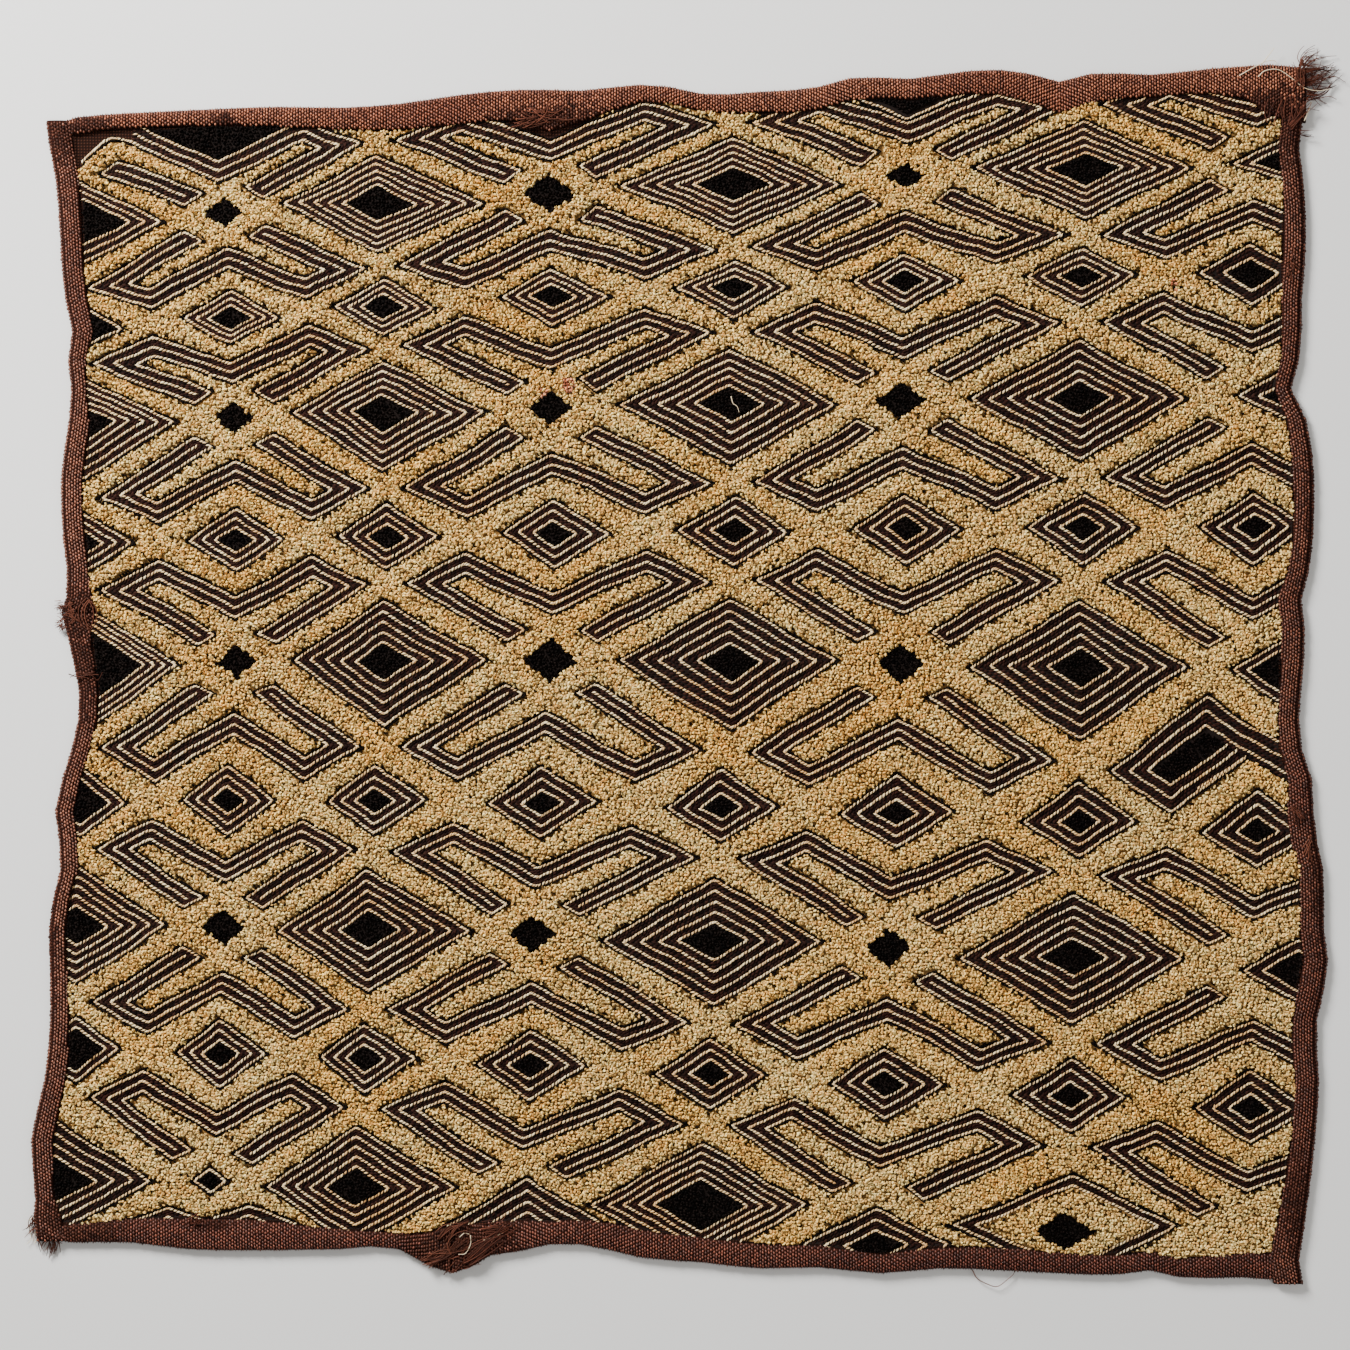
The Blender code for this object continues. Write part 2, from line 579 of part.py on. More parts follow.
def build_panel(collection, material):
    """The embroidered panel, one closed solid with its relief in the upper face."""
    outline = border(PANEL_INSET, 0.0)
    rim = border(RIM_CLEAR, 1.0)
    raised = border(RIM_CLEAR + RIM_RISE, 1.0)
    cells, hubs = embroidery()
    loops = [rim, raised]
    lines = []
    for cell in cells:
        closed, opened = cell_loops(cell)
        loops += closed
        lines += opened
    for hub in hubs:
        loops.append(diamond_loop(hub, 0.0))
        loops.append(diamond_loop(hub, CORE_RISE))
    loops = [rim, raised] + [loop for loop in loops[2:] if inside_loop(loop, rim).any()]
    corners, faces = triangulate(outline, loops, lines)
    heights = face_height(corners, cells)
    for hub in hubs:
        heights = hub_height(hub, corners, heights)

    ring = boundary(faces)
    following = dict(ring)
    order = [ring[0][0]]
    while following[order[-1]] != order[0]:
        order.append(following[order[-1]])
    edge_points = corners[order]
    flat = border(RIM_CLEAR + UNDER_RAMP, 1.0)
    low_corners, low_faces = triangulate(edge_points, [rim, flat], [])
    low_heights = under_height(low_corners)

    mesh = bmesh.new()
    used = sorted(set(faces.ravel().tolist()))
    top = {k: mesh.verts.new((corners[k][0] * MM, corners[k][1] * MM, heights[k] * MM)) for k in used}
    low_used = sorted(set(low_faces.ravel().tolist()))
    low = {
        k: mesh.verts.new((low_corners[k][0] * MM, low_corners[k][1] * MM, low_heights[k] * MM))
        for k in low_used
    }
    for a, b, c in faces:
        mesh.faces.new((top[a], top[b], top[c]))
    for a, b, c in low_faces:
        mesh.faces.new((low[c], low[b], low[a]))
    under = {k: int(np.argmin(np.linalg.norm(low_corners - corners[k], axis=1))) for k in order}
    for a, b in ring:
        mesh.faces.new((top[b], top[a], low[under[a]], low[under[b]]))
    bmesh.ops.recalc_face_normals(mesh, faces=mesh.faces)
    return add_object("panel", mesh, collection, material)


def add_object(name, mesh, collection, material):
    """A named object from a bmesh, in its collection and material."""
    data = bpy.data.meshes.new(name)
    mesh.to_mesh(data)
    mesh.free()
    data.materials.append(material)
    thing = bpy.data.objects.new(name, data)
    collection.objects.link(thing)
    return thing


SIDES = {
    "top": (TOP, lambda at, out: (at, out)),
    "bottom": (BOTTOM, lambda at, out: (at, -out)),
    "left": (LEFT, lambda at, out: (-out, at)),
    "right": (RIGHT, lambda at, out: (out, at)),
}


def build_strip(name, side, start, end, collection, material):
    """A binding strip folded over one side's edge, between two places along it."""
    tab, place = SIDES[side]
    middle = (STRIP_LOW + STRIP_HIGH) / 2
    half = STRIP_THICK / 2
    mesh = bmesh.new()
    rows = []
    for at in stations(tab, start, end):
        edge, width = float(along_side(tab, "edge", at)), float(along_side(tab, "width", at))
        profile = (
            (width, STRIP_LOW), (FOLD_REACH, STRIP_LOW), (FOLD_TURN, FOLD_LOW), (half, middle),
            (FOLD_TURN, FOLD_HIGH), (FOLD_REACH, STRIP_HIGH), (width, STRIP_HIGH),
        )
        row = []
        for inward, height in profile:
            x, y = place(float(at), edge - inward)
            row.append(mesh.verts.new((x * MM, y * MM, height * MM)))
        rows.append(row)
    for near, far in zip(rows, rows[1:]):
        for k in range(len(near) - 1):
            mesh.faces.new((near[k], near[k + 1], far[k + 1], far[k]))
    bmesh.ops.recalc_face_normals(mesh, faces=mesh.faces)
    strip = add_object(name, mesh, collection, material)
    solidify = strip.modifiers.new("thickness", "SOLIDIFY")
    solidify.thickness = STRIP_THICK * MM
    solidify.offset = 0.0
    solidify.use_even_offset = True
    return strip


def strip_limits():
    """Where each side's strips start and end: the left ones and the right one's foot cover
    the corners, and the top one covers the top right corner."""
    far_right = border(0.0, 0.0)[:, 0].max()

    def inner(tab, start, end):
        places = np.linspace(start, end, 24)
        return float(np.min(along_side(tab, "edge", places) - along_side(tab, "width", places)))

    left_top, left_low = TOP["edge"][0], -BOTTOM["edge"][0]
    right_low = -BOTTOM["edge"][-1]
    return {
        "left": (left_low, left_top),
        "right": (right_low, inner(TOP, far_right - CORNER_REACH, far_right) - JOINT_GAP),
        "top": (JOINT_GAP - inner(LEFT, left_top - CORNER_REACH, left_top), RIGHT["edge"][-1]),
        "bottom": (
            JOINT_GAP - inner(LEFT, left_low, left_low + CORNER_REACH),
            inner(RIGHT, right_low, right_low + CORNER_REACH) - JOINT_GAP,
        ),
    }


# Strands of the frayed ends: root along the backing, direction in degrees, length, curl
FRAY_TOP_RIGHT = table(
    "root angle length curl",
    (1.0, -38, 7, -14), (3.0, -22, 11, 12), (5.0, -12, 8, -16), (7.0, -4, 14, 14),
    (9.0, 4, 17, 10), (11.0, 10, 12, -12), (13.0, 16, 16, 12), (15.0, 24, 11, -10),
    (17.0, 34, 13, 14), (19.0, 48, 9, -12),
)
FRAY_BOTTOM_LEFT = table(
    "root angle length curl",
    (1.0, -150, 6, 12), (2.6, -132, 7, -12), (4.2, -116, 6, 10), (5.8, -100, 8, -8),
    (7.4, -88, 5, 10), (9.0, -74, 7, -10),
)


def build_fray(name, start, along, strands, collection, material):
    """Frayed strands fanned out from a narrow backing, all lying on the surface."""
    along = np.array(along, dtype=float)
    start = np.array(start, dtype=float)
    outward = np.array((along[1], -along[0]))
    length = strands["root"][-1] + 1.0
    outline = [start, start + outward * BACKING]
    for root, angle, reach, curl in zip(*strands.values()):
        place = start + outward * BACKING + along * root
        sides = ([], [])
        for k in range(STRAND_STEPS + 1):
            turn = math.radians(angle + curl * k)
            heading = np.array((math.cos(turn), math.sin(turn)))
            across = -along if k == 0 else np.array((heading[1], -heading[0]))
            across = across if across @ along < 0 else -across
            half = (STRAND_ROOT + (STRAND_TIP - STRAND_ROOT) * k / STRAND_STEPS) / 2
            sides[0].append(place + across * half)
            sides[1].append(place - across * half)
            place = place + heading * reach / STRAND_STEPS
        outline += sides[0] + sides[1][::-1]
    outline += [start + outward * BACKING + along * length, start + along * length]
    mesh = bmesh.new()
    low = [mesh.verts.new((float(x) * MM, float(y) * MM, 0.0)) for x, y in outline]
    face = mesh.faces.new(low)
    raised = bmesh.ops.extrude_face_region(mesh, geom=[face])
    for item in raised["geom"]:
        if isinstance(item, bmesh.types.BMVert):
            item.co.z = STRAND_THICK * MM
    bmesh.ops.triangulate(mesh, faces=mesh.faces)
    bmesh.ops.recalc_face_normals(mesh, faces=mesh.faces)
    return add_object(name, mesh, collection, material)


def centre(things):
    """Move every mesh so that the origin is under the middle of their outer box."""
    depsgraph = bpy.context.evaluated_depsgraph_get()
    corners = np.array([tuple(c) for thing in things for c in thing.evaluated_get(depsgraph).bound_box])
    middle = (corners.min(axis=0) + corners.max(axis=0)) / 2
    for thing in things:
        thing.data.transform(Matrix.Translation((-middle[0], -middle[1], 0.0)))


def make_material(name, colour, roughness):
    """A plain Principled material."""
    material = bpy.data.materials.new(name)
    material.use_nodes = True
    shader = material.node_tree.nodes["Principled BSDF"]
    shader.inputs["Base Color"].default_value = (*colour, 1.0)
    shader.inputs["Roughness"].default_value = roughness
    shader.inputs["Metallic"].default_value = 0.0
    material.diffuse_color = (*colour, 1.0)
    return material


def main():
    for thing in list(bpy.data.objects):
        bpy.data.objects.remove(thing, do_unlink=True)
    collection = bpy.data.collections.new("kuba_raffia_cloth")
    bpy.context.scene.collection.children.link(collection)
    build_panel(collection, make_material("embroidered_raffia", (0.55, 0.38, 0.17), 0.9))
    limits = strip_limits()
    binding = (0.16, 0.06, 0.035)
    gap = JOINT_GAP / 2
    strips = (
        ("binding_top", "top", *limits["top"]),
        ("binding_right", "right", *limits["right"]),
        ("binding_bottom_left", "bottom", limits["bottom"][0], SPLICE_BOTTOM - gap),
        ("binding_bottom_right", "bottom", SPLICE_BOTTOM + gap, limits["bottom"][1]),
        ("binding_left_lower", "left", limits["left"][0], SPLICE_LEFT - gap),
        ("binding_left_upper", "left", SPLICE_LEFT + gap, limits["left"][1]),
    )
    for name, side, start, end in strips:
        build_strip(name, side, start, end, collection, make_material(name, binding, 0.85))
    frayed = make_material("frayed_raffia", (0.3, 0.17, 0.09), 0.9)
    top_right = (RIGHT["edge"][-1] + JOINT_GAP, TOP["edge"][-1] - FRAY_DROP)
    build_fray("fray_top_right", top_right, (0, 1), FRAY_TOP_RIGHT, collection, frayed)
    bottom_left = (-LEFT["edge"][0] + FRAY_SHIFT, limits["left"][0] - JOINT_GAP)
    build_fray("fray_bottom_left", bottom_left, (1, 0), FRAY_BOTTOM_LEFT, collection, frayed)
    centre(collection.objects)


main()
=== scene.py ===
"""Looks of the kuba raffia cloth: ground, stitched rows, cut pile, woven bindings and frays.

Tables and lengths are in millimetres in the chart's own frame, whose origin is the middle
of the embroidery. Every mesh is moved to the model's frame and scaled to metres.
"""

import math

import bpy
import numpy as np
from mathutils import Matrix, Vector
from mathutils.geometry import delaunay_2d_cdt

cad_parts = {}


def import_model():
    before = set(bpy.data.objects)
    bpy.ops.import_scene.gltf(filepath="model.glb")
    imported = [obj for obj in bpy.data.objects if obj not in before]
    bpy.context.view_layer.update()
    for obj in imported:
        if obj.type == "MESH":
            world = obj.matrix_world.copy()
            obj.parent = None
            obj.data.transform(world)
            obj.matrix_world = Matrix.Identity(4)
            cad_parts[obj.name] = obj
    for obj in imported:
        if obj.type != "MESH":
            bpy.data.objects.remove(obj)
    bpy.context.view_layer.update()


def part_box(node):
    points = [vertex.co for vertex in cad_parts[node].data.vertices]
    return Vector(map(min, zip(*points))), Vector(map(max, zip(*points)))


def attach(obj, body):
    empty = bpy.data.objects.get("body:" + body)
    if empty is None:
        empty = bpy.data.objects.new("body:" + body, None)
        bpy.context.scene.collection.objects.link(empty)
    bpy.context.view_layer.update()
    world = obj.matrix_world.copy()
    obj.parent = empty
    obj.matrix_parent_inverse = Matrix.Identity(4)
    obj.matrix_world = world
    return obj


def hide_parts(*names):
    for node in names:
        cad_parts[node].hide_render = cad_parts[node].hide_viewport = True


MM = 0.001
# The photograph's frame: millimetres a pixel, its size, and the pixel at the chart's origin
PIXEL = 0.475
PHOTO_SIZE = 1350
PHOTO_MIDDLE = (680.0, 674.0)

# Embroidery layers
GROUND_TOP = 1.5
PILE_BASE = 1.45
PILE_RISE = 2.05
BLACK_RISE = 1.75
TUFT_STEP = 1.5
# Depth of the outline rows: black grains laid as painted shade in the gap between a cell's rows and the pile
SHADE_ROW_AT = -0.55
PILE_CLEAR = 0.9
PILE_RAGGED = 0.25
HUB_RAGGED = 0.8
# Edges cut in the ground: how far out of a cell its rows reach, and how far in its core starts
ROWS_OUT = 0.4
CORE_IN = 0.3
# How far from a cell a point is still measured, and the depth given to points farther off
NEAR_REACH = 3.0
FAR_IN = 9.0
CORNER_CUT = 1.1
CORNER_SHARE = 0.4
# The bar's rows that run on under the right binding: how deep in, where they bend, and to where
RUN_DEEP = 14.0
RUN_BEND = 266.0
RUN_SLOPE = -0.5
RUN_TO = 288.0
# The outline among them is a black row of painted shade beside the pile
RUN_ROWS = ((1.3, "dark"), (0.2, "outline"))
RUN_CREAM = 1.2
RUN_SHARE = 0.7
# The bar's first cream row lies double at its lower right side, for a share of that side
DOUBLED_DEEP = 1.3
DOUBLED_SHARE = 0.3

PANEL_EDGE_LOW = 1.35
PANEL_RIM_LOW = 1.2
RIM_TOP = 2.05
PANEL_INSET = 1.8
RIM_CLEAR = 0.6
RIM_RISE = 1.2
RIM_FALL = 5.0
UNDER_RAMP = 4.0
EDGE_STEP = 16.0
STATION_CLEAR = 1.0
HALF_SPAN = 300.0
CORNER_ROUNDS = 12
CORNER_PLACES = 24
WELD = 1e-3
TINY = 1e-9

# Bindings: a strip folded over the edge
STRIP_LOW = 0.45
STRIP_HIGH = 2.95
FOLD_REACH = 2.0
JOINT_GAP = 0.3
CORNER_REACH = 14.0

# Embroidery. Diamonds: half sizes as shares of the spacing, black core and cream rows
BIG_DIAMOND = (0.624, 0.48, 7.0, 5)
SMALL_DIAMOND = (0.32, 0.27, 4.6, 3)
BOW_HALF = 4.65
FRAME_WIDTH = 5.7
FIRST_ROW = 0.75
LAST_ROW = 0.25
# Rows of stitches in a bow and in the frame: depth and tone
BOW_ROWS = ((SHADE_ROW_AT, "outline"), (FIRST_ROW, "cream"), (2.05, "dark"), (3.35, "dark"))
BOW_MIDDLE_CUT = 3.9
FRAME_ROWS = [(1.0, "cream"), (2.3, "dark"), (3.5, "dark"), (4.8, "cream")]
# Room that a dark row of painted shade round the core needs, and how far past the last part of the pitch it
# lies
CORE_ROOM = 0.5
CORE_PAST = 0.2


def table(names, *rows):
    """A small table, as one array for each named column."""
    columns = np.array(rows, dtype=float).T
    return dict(zip(names.split(), columns))


def rows_of(tab):
    """The table's rows, one after the other."""
    return zip(*tab.values())


# Each side's outer fold: place along the side, distance from the middle, visible strip width
TOP = table(
    "at edge width",
    (-301, 262.5, 9.0), (-275, 265.5, 7.6), (-247, 267.0, 7.6), (-218, 268.4, 8.0),
    (-190, 269.3, 9.5), (-161, 268.9, 10.5), (-133, 270.8, 12.5), (-104, 275.0, 14.0),
    (-76, 277.4, 15.0), (-63, 277.4, 20.0), (-47, 277.0, 15.0), (-19, 279.8, 8.5),
    (-5, 278.8, 8.2), (10, 275.5, 8.5), (38, 276.5, 10.0), (66, 278.8, 10.8),
    (81, 283.0, 10.5), (109, 282.6, 10.0), (138, 286.4, 11.0), (152, 286.9, 12.0),
    (166, 285.0, 14.0), (180, 281.2, 15.0), (195, 285.0, 14.0), (223, 284.5, 10.5),
    (252, 287.4, 12.0), (268, 288.6, 15.5), (280, 289.3, 24.0), (297, 287.5, 26.0),
)
BOTTOM = table(
    "at edge width",
    (-304, 268.9, 9.0), (-290, 269.8, 8.5), (-261, 269.8, 11.4), (-233, 273.1, 14.7),
    (-204, 273.6, 14.5), (-161, 273.1, 9.5), (-133, 273.1, 7.8), (-119, 281.0, 16.0),
    (-108, 284.5, 23.0), (-98, 281.0, 20.0), (-90, 276.0, 16.0), (-76, 274.0, 14.5),
    (-62, 270.8, 11.0), (-47, 270.8, 11.5), (-33, 273.6, 13.0), (-19, 276.9, 13.0),
    (10, 279.3, 11.9), (38, 282.2, 11.4), (66, 281.7, 10.5), (95, 284.5, 9.2),
    (123, 282.2, 10.0), (152, 283.1, 10.5), (180, 284.5, 10.0), (209, 285.0, 9.0),
    (223, 283.1, 8.8), (237, 286.4, 9.2), (266, 286.4, 12.0), (297, 289.3, 13.0),
)
LEFT = table(
    "at edge width",
    (-269, 305.0, 14.0), (-257, 306.5, 13.0), (-249, 305.9, 9.0), (-236, 306.9, 9.5),
    (-221, 307.8, 10.5), (-207, 305.0, 10.5), (-193, 301.6, 10.0), (-164, 298.8, 9.0),
    (-136, 299.0, 8.0), (-121, 299.3, 7.8), (-107, 297.4, 7.8), (-93, 294.0, 8.2),
    (-79, 294.5, 8.6), (-65, 296.4, 8.6), (-50, 293.1, 8.6), (-36, 288.8, 9.0),
    (-22, 285.5, 9.0), (-8, 285.0, 8.8), (7, 287.9, 9.7), (21, 291.2, 11.5),
    (29, 293.5, 16.0), (37, 291.0, 12.0), (64, 292.6, 10.5), (92, 293.6, 10.0),
    (106, 292.1, 10.5), (121, 289.8, 9.5), (135, 288.8, 7.0), (149, 290.2, 8.5),
    (163, 288.3, 10.0), (178, 291.7, 10.5), (206, 294.0, 10.5), (235, 296.2, 10.8),
    (249, 298.8, 11.0), (262.5, 300.8, 11.0),
)
RIGHT = table(
    "at edge width",
    (-289.3, 295.5, 13.8), (-278, 293.6, 13.8), (-264, 295.9, 13.6), (-250, 297.8, 12.5),
    (-221, 301.2, 10.9), (-193, 303.1, 11.4), (-164, 302.1, 12.0), (-150, 305.4, 12.2),
    (-136, 307.3, 11.4), (-121, 305.4, 11.2), (-93, 305.0, 11.0), (-79, 302.1, 12.4),
    (-65, 300.5, 12.6), (-50, 299.7, 11.0), (-36, 295.0, 10.5), (-22, 293.6, 9.8),
    (-8, 294.5, 9.8), (7, 296.0, 10.8), (21, 296.4, 11.0), (35, 294.8, 11.2),
    (49, 298.3, 10.0), (78, 300.7, 9.2), (106, 299.7, 9.8), (121, 296.9, 9.0),
    (135, 289.8, 7.8), (149, 293.6, 8.8), (178, 295.0, 9.5), (206, 296.9, 10.5),
    (235, 295.5, 9.6), (249, 293.6, 9.6), (261, 295.0, 10.0), (289.3, 296.9, 10.0),
)
SPLICE_BOTTOM = -108.0
SPLICE_LEFT = 29.0

# Lattice: columns alternate big diamonds (even) and hubs (odd); rows alternate
# small diamonds (even) and big ones (odd). Each row bends through three heights
# and leans by three shifts, at the left, the middle and the right of the cloth.
COLUMN_X = (-285.0, -213.0, -142.5, -63.0, 23.0, 104.5, 190.0, 272.0)
BEND_X = (-213.0, 23.0, 272.0)
ROWS = table(
    "left mid right lean_left lean_mid lean_right",
    (266.5, 279.8, 291.7, -3.5, 2.5, 1.0),
    (219.0, 232.3, 243.2, -3.5, 2.5, 1.0),
    (169.1, 183.4, 190.5, 0.0, 2.5, -1.0),
    (122.1, 128.3, 131.6, 1.5, 1.0, -1.0),
    (63.7, 67.9, 69.8, 2.5, 3.0, 0.0),
    (5.7, 6.2, 1.0, 2.5, 1.0, -0.5),
    (-60.3, -63.2, -75.0, -1.5, -3.0, 2.0),
    (-120.2, -126.8, -139.2, -4.0, -7.0, 0.0),
    (-180.0, -190.0, -206.2, -5.0, -8.5, -1.0),
    (-240.8, -252.2, -268.9, -9.5, -13.0, -5.0),
    (-297.0, -311.0, -330.0, -11.0, -15.0, -6.0),
)
FIRST_MAIN, LAST_MAIN = 1, 9
EDGE_COLUMN = 7
# At the right edge no bow lies under this row's hub, where the slanted bar is
BAR_ROW = 5

# Cells that break the repeat: centre, half sizes to each side, black core and cream rows
ODD_CELLS = table(
    "x y left right down up core rows",
    (-222.8, -240.3, 8.6, 8.6, 6.6, 6.6, 3.4, 1),
    (-243.2, -266.0, 36.0, 36.0, 14.0, 14.0, 3.0, 3),
    (-205.2, -265.8, 36.0, 36.0, 14.0, 14.0, 3.0, 3),
    (-72.5, -266.0, 45.0, 45.0, 27.0, 27.0, 4.0, 5),
    (93.0, -271.0, 36.0, 36.0, 18.0, 18.0, 5.5, 3),
    (291.7, 242.7, 30.0, 20.0, 10.5, 14.7, 7.0, 2),
    (292.0, 132.0, 27.6, 20.0, 13.5, 17.0, 6.8, 2),
    (291.3, 2.0, 30.0, 20.0, 20.0, 17.0, 10.0, 2),
    (294.0, -141.0, 28.0, 20.0, 15.3, 15.2, 7.1, 2),
    (-217.5, 266.0, 48.0, 48.0, 21.0, 21.0, 12.5, 2),
    (107.0, 281.5, 45.0, 45.0, 19.0, 19.0, 14.0, 1),
)
# Lattice diamonds whose black core or number of cream rows differs from the rest
OTHER_CORES = table(
    "column row core rows",
    (0, 1, 13.0, 3), (0, 2, 9.5, 1), (0, 5, 15.0, 4), (0, 6, 8.0, 2), (0, 8, 8.0, 2),
    (4, 9, 10.0, 5), (7, 2, 5.6, 2),
)
# Black hubs at the crossings, half sizes
HUBS = table(
    "column row wide tall",
    (1, 1, 10.0, 7.5), (3, 1, 13.0, 9.0), (5, 1, 9.5, 6.5),
    (1, 3, 10.0, 8.0), (3, 3, 10.5, 8.0), (5, 3, 12.0, 9.0),
    (1, 5, 10.5, 8.5), (3, 5, 12.5, 10.5), (5, 5, 11.5, 9.5),
    (1, 7, 10.5, 8.5), (3, 7, 12.0, 9.5), (5, 7, 11.0, 9.5),
)
# The framed diamond at the bottom, filled with pile round a black one
FRAMED_AT = (187.0, -262.0)
FRAMED = (59.0, 50.0, 26.0, 24.5)
FRAMED_CORE_AT = (182.5, -264.5)
FRAMED_CORE = (15.0, 15.0, 9.0, 9.0)
# The slanted bar cell at the right: its corners at the left, top, right and bottom
BAR_CORNERS = ((203.5, -45.5), (250.0, -9.5), (279.5, -32.5), (233.0, -67.0))
BAR_CORE = 5.5
BAR_ROWS = 3


def refined(tab):
    """The same side with even steps between its rows, on a smooth curve through them."""
    rows = tab["at"]
    places = [
        place
        for near, far in zip(rows, rows[1:])
        for place in np.linspace(near, far, math.ceil((far - near) / EDGE_STEP), endpoint=False)
    ]
    at = np.array(places + [rows[-1]])
    low = np.clip(np.searchsorted(rows, at) - 1, 0, len(rows) - 2)
    span = rows[low + 1] - rows[low]
    t = (at - rows[low]) / span
    side = {"at": at}
    for name in ("edge", "width"):
        values = tab[name]
        slopes = np.gradient(values, rows)
        side[name] = (
            (2 * t**3 - 3 * t**2 + 1) * values[low] + (t**3 - 2 * t**2 + t) * span * slopes[low]
            + (3 * t**2 - 2 * t**3) * values[low + 1] + (t**3 - t**2) * span * slopes[low + 1]
        )
    return side


TOP, BOTTOM, LEFT, RIGHT = (refined(tab) for tab in (TOP, BOTTOM, LEFT, RIGHT))


def along_side(tab, name, at):
    """A side's edge or width at a place, straight between its stations."""
    return np.interp(at, tab["at"], tab[name])


def stations(tab, start, end):
    """The places along a side where its outline bends, between two ends."""
    near, far = start + STATION_CLEAR, end - STATION_CLEAR
    between = [place for place in tab["at"] if near < place < far]
    return np.array([start] + between + [end])


def depths(points):
    """How far each point is in from every side's outer fold, with that side's strip width."""
    x, y = points[:, 0], points[:, 1]
    return (
        (along_side(TOP, "edge", x) - y, along_side(TOP, "width", x)),
        (along_side(BOTTOM, "edge", x) + y, along_side(BOTTOM, "width", x)),
        (along_side(LEFT, "edge", y) + x, along_side(LEFT, "width", y)),
        (along_side(RIGHT, "edge", y) - x, along_side(RIGHT, "width", y)),
    )


def clear_of_strips(points):
    """How far each point is in from the strips' inner edges, negative under a strip."""
    return np.min([depth - width for depth, width in depths(points)], axis=0)


def border(inset, widths):
    """A closed outline, at an inset from the outer fold plus a multiple of the strip width."""

    def reach(tab, at):
        return along_side(tab, "edge", at) - inset - widths * along_side(tab, "width", at)

    def corner(side, sign_x, end, sign_y):
        x = sign_x * HALF_SPAN
        for _ in range(CORNER_ROUNDS):
            y = sign_y * reach(end, x)
            x = sign_x * reach(side, y)
        return x, y

    low_left, low_right = corner(LEFT, -1, BOTTOM, -1), corner(RIGHT, 1, BOTTOM, -1)
    high_left, high_right = corner(LEFT, -1, TOP, 1), corner(RIGHT, 1, TOP, 1)
    runs = {
        "bottom": stations(BOTTOM, low_left[0], low_right[0])[:-1],
        "right": stations(RIGHT, low_right[1], high_right[1])[:-1],
        "top": stations(TOP, high_left[0], high_right[0])[:0:-1],
        "left": stations(LEFT, low_left[1], high_left[1])[:0:-1],
    }
    points = []
    for side, places in runs.items():
        tab, place = SIDES[side]
        points += [place(at, reach(tab, at)) for at in places]
    return np.array(points, dtype=float)


def bend(x, left, mid, right):
    """The value at x of the parabola through three values at BEND_X."""
    a, b, c = BEND_X
    return (
        left * (x - b) * (x - c) / ((a - b) * (a - c))
        + mid * (x - a) * (x - c) / ((b - a) * (b - c))
        + right * (x - a) * (x - b) / ((c - a) * (c - b))
    )


def node(column, row):
    """The place of a lattice crossing; columns past the ends go on at the last spacing."""
    if column < len(COLUMN_X):
        base = COLUMN_X[column]
    else:
        base = 2 * COLUMN_X[-1] - COLUMN_X[-2]
    lean = bend(base, ROWS["lean_left"][row], ROWS["lean_mid"][row], ROWS["lean_right"][row])
    height = bend(base, ROWS["left"][row], ROWS["mid"][row], ROWS["right"][row])
    return np.array((base + lean, height))


def spacing(column, row):
    """Distances from a crossing to its neighbours: left, right, down, up."""
    here = node(column, row)
    right = node(column + 1, row)[0] - here[0]
    left = here[0] - node(column - 1, row)[0] if column > 0 else right
    up = node(column, row - 1)[1] - here[1]
    down = here[1] - node(column, row + 1)[1]
    return left, right, down, up


def diamond(centre, halves, core, rows):
    """A stitched diamond: halves are its reach left, right, down and up from its centre."""
    left, right, down, up = halves
    wide, tall = (left + right) / 2, (down + up) / 2
    return stitched("diamond", wide * tall / math.hypot(wide, tall), core, rows, centre, halves)


def stitched(kind, reach, core, rows, centre, halves):
    """A cell with cream rows at an even pitch from its outline in to its black core,
    the last of them a part of the pitch from the core."""
    depth = max(reach - core - FIRST_ROW, FIRST_ROW)
    return {
        "kind": kind, "centre": np.array(centre), "halves": halves, "reach": reach,
        "core": core, "rows": int(rows), "pitch": depth / (rows - 1 + LAST_ROW),
    }


def slanted_bar():
    """The slanted cell with a black bar, as a parallelogram."""
    corners = np.array(BAR_CORNERS)
    middle = corners.mean(axis=0)
    reach = float(edge_depths(corners, middle[None]).min())
    return stitched("bar", reach, BAR_CORE, BAR_ROWS, middle, corners)


def unit(vectors):
    """A vector, or each row of several, at length one."""
    return vectors / np.linalg.norm(vectors, axis=-1, keepdims=True)


def edge_depths(corners, points):
    """How far each point is in from each straight side of a convex outline."""
    steps = unit(np.roll(corners, -1, axis=0) - corners)
    return np.array([
        (points[:, 0] - a[0]) * step[1] - (points[:, 1] - a[1]) * step[0] for a, step in zip(corners, steps)
    ])


def bar_loop(cell, depth):
    """The parallelogram's outline, moved in by a depth."""
    corners = cell["halves"]
    leave = unit(np.roll(corners, -1, axis=0) - corners)
    come = np.roll(leave, 1, axis=0)
    total = np.stack((come[:, 1] + leave[:, 1], -come[:, 0] - leave[:, 0]), axis=1)
    return corners + total * depth / (1 + (come * leave).sum(axis=1))[:, None]


def diamond_loop(cell, depth):
    """The diamond's outline, moved in by a depth."""
    left, right, down, up = cell["halves"]
    k = 1 - depth / cell["reach"]
    x, y = cell["centre"]
    return np.array(((x + right * k, y), (x, y + up * k), (x - left * k, y), (x, y - down * k)))


def diamond_depth(cell, points):
    """How deep each point lies inside a diamond's or a bar's outline."""
    if cell["kind"] == "bar":
        return edge_depths(cell["halves"], points).min(axis=0)
    left, right, down, up = cell["halves"]
    offset = points - cell["centre"]
    across = np.where(offset[:, 0] > 0, offset[:, 0] / right, -offset[:, 0] / left)
    along = np.where(offset[:, 1] > 0, offset[:, 1] / up, -offset[:, 1] / down)
    return (1 - across - along) * cell["reach"]


